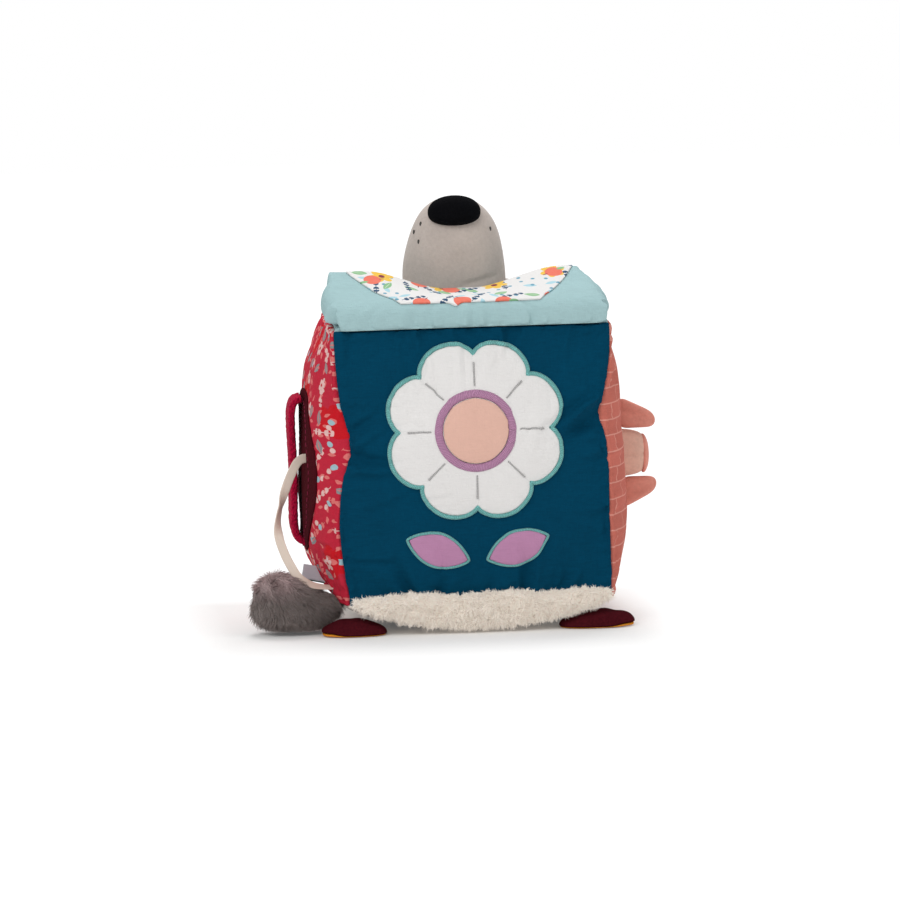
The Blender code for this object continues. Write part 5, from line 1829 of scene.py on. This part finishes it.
class FABRICBLOCK_OT_piglet(bpy.types.Operator):
    """Make the piglet stub: its head, snout and ears"""

    bl_idname = "fabricblock.piglet"
    bl_label = "Piglet"

    def execute(self, context):
        dyes = colours()
        pink = plush("Piglet plush", dyes.pink, nap=380, sheen=0.1)
        coral = plush("Coral plush", dyes.ear, nap=380, sheen=0.1)
        low, high = box_corners("piglet_head")
        middle, half = middle_and_half(low, high)
        root, reach = low[0] - HEAD_ROOT_DEPTH, high[0] - low[0] + HEAD_REACH
        x, y, z, _ = cushion(60, 110, 0.30)
        tall = half[2] + HEAD_FILLING
        out = root + np.maximum(z, -0.1) * reach
        points = np.stack((out, middle[1] + x * half[1], middle[2] + y * tall), -1)
        seam = 0.0011 * bell(points[..., 1], 0.0012) + 0.0009 * bell(y, 0.06) * (x < 0)
        points[..., 1:] -= (points[..., 1:] - middle[1:]) / half[1:] * seam[..., None]
        piece(shell("piglet_ball", points), "block", pink, ("piglet_head",))

        middle, half = middle_and_half(*box_corners("piglet_snout"))
        x, y, z, ring = cushion(50, 90, 0.7)
        out = SNOUT_START + round_power(z, 0.55) * (half[0] - SNOUT_START) - SNOUT_SAG * ring**2
        points = middle + np.stack((out, x * half[1], y * half[2] - SNOUT_DROP), -1)
        piece(shell("snout_disc", points), "block", coral, ("piglet_snout",))

        for word, side in (("upper", 1), ("lower", -1)):
            mesh = shell("soft_ear_" + word, ear_surface(*box_corners("ear_" + word), side))
            piece(mesh, word + "_ear", coral, ("ear_" + word,))
        return {"FINISHED"}


def ear_surface(low, high, side, rows=60, columns=70):
    """A flat ear: ovals carried from its root to its tip, tapering, with a hollow down its front face."""
    along = (1 - np.cos(np.linspace(0, np.pi, rows)))[:, None] / 2
    turn = full_turn(columns)[None, :]
    end = (1 - (2 * along - 1) ** 6) ** 0.5
    inner = (low[2] if side > 0 else high[2]) - side * EAR_CLOSER
    half_height = (high[2] - low[2]) / 2 * EAR_ROOT_GROWTH * (1 - EAR_TAPER * along)
    middle = inner + side * half_height * (1 + 0.05 * along)
    half_thick = (high[1] - low[1]) / 2 * (0.45 + 0.55 * np.sin(np.pi * np.minimum(along * 1.1, 1)) ** 0.6)
    x = low[0] + (high[0] - low[0]) * along + 0 * turn
    z = middle + half_height * end * round_power(np.sin(turn), 0.9)
    hollow = 0.5 * bell(z - middle, half_height * 0.5 + 1e-6)
    y = half_thick * end * round_power(np.cos(turn), 0.8)
    y = np.where(y < 0, y * (1 - hollow), y)
    return np.stack((x, y, z), -1)


# The stage: floor, light and camera

AIM = (-0.0169, -0.095, 0.1216)
PHOTO_SCALE = 0.000655
PHOTO_WIDTH = 900
CAMERA_AWAY = 5.0
CAMERA_YAW = math.radians(5.0)
CAMERA_RISE = math.radians(6.5)
CAMERA_ROLL = math.radians(1.5)
LAMPS_LOOK_AT = (0, 0, 0.10)
WORLD_LIGHT = 0.52
PAPER_GLOW = 1.12

# Each lamp's name, place, width and power
LAMPS = (
    ("Key", (-1.1, -1.7, 1.6), 1.3, 21),
    ("Fill", (1.6, -1.3, 0.9), 1.4, 6),
    ("Top", (0.1, 0.9, 2.0), 1.4, 22),
)

# The floor's shadow: where its middle lies, how far it reaches at full strength to each side, to the front
# and to the rear, how steeply it fades each of these ways, and over what length
SHADOW_ASIDE = 0.035
SHADOW_REACH = (0.126, 0.093, 0.085)
SHADOW_STEEPNESS = (1.3, 0.42, 1.4)
SHADOW_FADE = 0.065


def make_camera():
    data = bpy.data.cameras.new("Camera")
    data.lens = data.sensor_width * CAMERA_AWAY / (PHOTO_WIDTH * PHOTO_SCALE)
    camera = bpy.data.objects.new("Camera", data)
    bpy.context.scene.collection.objects.link(camera)
    back = Vector((
        -math.sin(CAMERA_YAW) * math.cos(CAMERA_RISE),
        -math.cos(CAMERA_YAW) * math.cos(CAMERA_RISE),
        math.sin(CAMERA_RISE),
    ))
    camera.location = Vector(AIM) + back * CAMERA_AWAY
    level = (-back).to_track_quat("-Z", "Y")
    camera.rotation_mode = "QUATERNION"
    camera.rotation_quaternion = level @ Quaternion((0, 0, 1), -CAMERA_ROLL)
    bpy.context.scene.camera = camera


def make_lamp(name, place, size, power):
    data = bpy.data.lights.new(name, "AREA")
    data.shape = "DISK"
    data.size = size
    data.energy = power
    lamp = bpy.data.objects.new(name, data)
    bpy.context.scene.collection.objects.link(lamp)
    lamp.location = place
    lamp.rotation_mode = "QUATERNION"
    lamp.rotation_quaternion = (Vector(LAMPS_LOOK_AT) - Vector(place)).to_track_quat("-Z", "Y")


def floor_finish():
    """White paper that keeps a soft shadow near the block, and fades to plain white towards the backdrop."""
    loom = Loom("Floor paper")
    x, y, _ = loom.split(loom.place())
    outside = []
    for way, reach, steepness in zip((abs(x + SHADOW_ASIDE), -y, y), SHADOW_REACH, SHADOW_STEEPNESS):
        outside.append((way - reach).math("MAXIMUM", 0.0) * steepness)
    across, before, behind = outside
    deep = before + behind
    away = (across * across + deep * deep).math("SQRT")
    fade = (away / SHADOW_FADE).clamped()
    rays = loom.node("ShaderNodeLightPath")
    seen = (rays + rays.other(3) + rays.other(6)).math("MINIMUM", 1.0)
    white = loom.node("ShaderNodeEmission", None, {"Color": (1, 1, 1, 1), "Strength": PAPER_GLOW})
    share = seen * (fade * 0.94 + 0.06)
    loom.finish((0.88, 0.875, 0.865), 0.9)
    paper = Thread(loom, loom.shader.outputs[0])
    mixed = loom.node("ShaderNodeMixShader", None, {0: share, 1: paper, 2: white})
    output = loom.tree.nodes["Material Output"]
    loom.tree.links.new(mixed.socket, output.inputs["Surface"])
    return loom.material


class FABRICBLOCK_OT_stage(bpy.types.Operator):
    """Lay the pale floor, and set the soft studio light and the camera"""

    bl_idname = "fabricblock.stage"
    bl_label = "Stage"

    def execute(self, context):
        make_camera()
        scene = context.scene
        scene.view_settings.view_transform = "Standard"
        corners = np.array(((-4, -4, 0), (4, -4, 0), (4, 4, 0), (-4, 4, 0)), dtype=float)
        floor_mesh = fill_mesh("floor", corners, np.array(((0, 1, 2, 3),)))
        floor = bpy.data.objects.new("floor", floor_mesh)
        floor_mesh.materials.append(floor_finish())
        scene.collection.objects.link(floor)
        for lamp in LAMPS:
            make_lamp(*lamp)
        world = bpy.data.worlds.new("Studio")
        scene.world = world
        world.use_nodes = True
        tree = world.node_tree
        tree.nodes.clear()
        rays = tree.nodes.new("ShaderNodeLightPath")
        mixed = tree.nodes.new("ShaderNodeMixShader")
        light = tree.nodes.new("ShaderNodeBackground")
        light.inputs["Color"].default_value = (1, 1, 1, 1)
        light.inputs["Strength"].default_value = WORLD_LIGHT
        seen = tree.nodes.new("ShaderNodeBackground")
        seen.inputs["Color"].default_value = (1, 1, 1, 1)
        output = tree.nodes.new("ShaderNodeOutputWorld")
        tree.links.new(rays.outputs["Is Camera Ray"], mixed.inputs[0])
        tree.links.new(light.outputs[0], mixed.inputs[1])
        tree.links.new(seen.outputs[0], mixed.inputs[2])
        tree.links.new(mixed.outputs[0], output.inputs[0])
        return {"FINISHED"}


OPERATORS = (
    FABRICBLOCK_OT_stage,
    FABRICBLOCK_OT_ribbon,
    FABRICBLOCK_OT_panels,
    FABRICBLOCK_OT_daisy,
    FABRICBLOCK_OT_quilt,
    FABRICBLOCK_OT_head,
    FABRICBLOCK_OT_strap,
    FABRICBLOCK_OT_tags,
    FABRICBLOCK_OT_trim,
    FABRICBLOCK_OT_tail,
    FABRICBLOCK_OT_feet,
    FABRICBLOCK_OT_piglet,
)


class FABRICBLOCK_PT_panel(bpy.types.Panel):
    """Lists the block's pieces in the 3D view's sidebar"""

    bl_label = "Fabric Block"
    bl_space_type = "VIEW_3D"
    bl_region_type = "UI"
    bl_category = "Fabric Block"

    def draw(self, context):
        for operator in OPERATORS:
            self.layout.operator(operator.bl_idname)
        for group in (context.scene.fabric_block_sizes, context.scene.fabric_block_colours):
            for name in group.__annotations__:
                self.layout.prop(group, name)


CLASSES = (BlockColours, BlockSizes, *OPERATORS, FABRICBLOCK_PT_panel)


def register():
    for made in CLASSES:
        bpy.utils.register_class(made)
    bpy.types.Scene.fabric_block_colours = bpy.props.PointerProperty(type=BlockColours)
    bpy.types.Scene.fabric_block_sizes = bpy.props.PointerProperty(type=BlockSizes)


def unregister():
    del bpy.types.Scene.fabric_block_sizes
    del bpy.types.Scene.fabric_block_colours
    for made in reversed(CLASSES):
        bpy.utils.unregister_class(made)


def main():
    register()
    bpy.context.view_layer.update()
    for name in (operator.bl_idname.split(".")[1] for operator in OPERATORS):
        getattr(bpy.ops.fabricblock, name)()


if __name__ == "__main__":
    main()
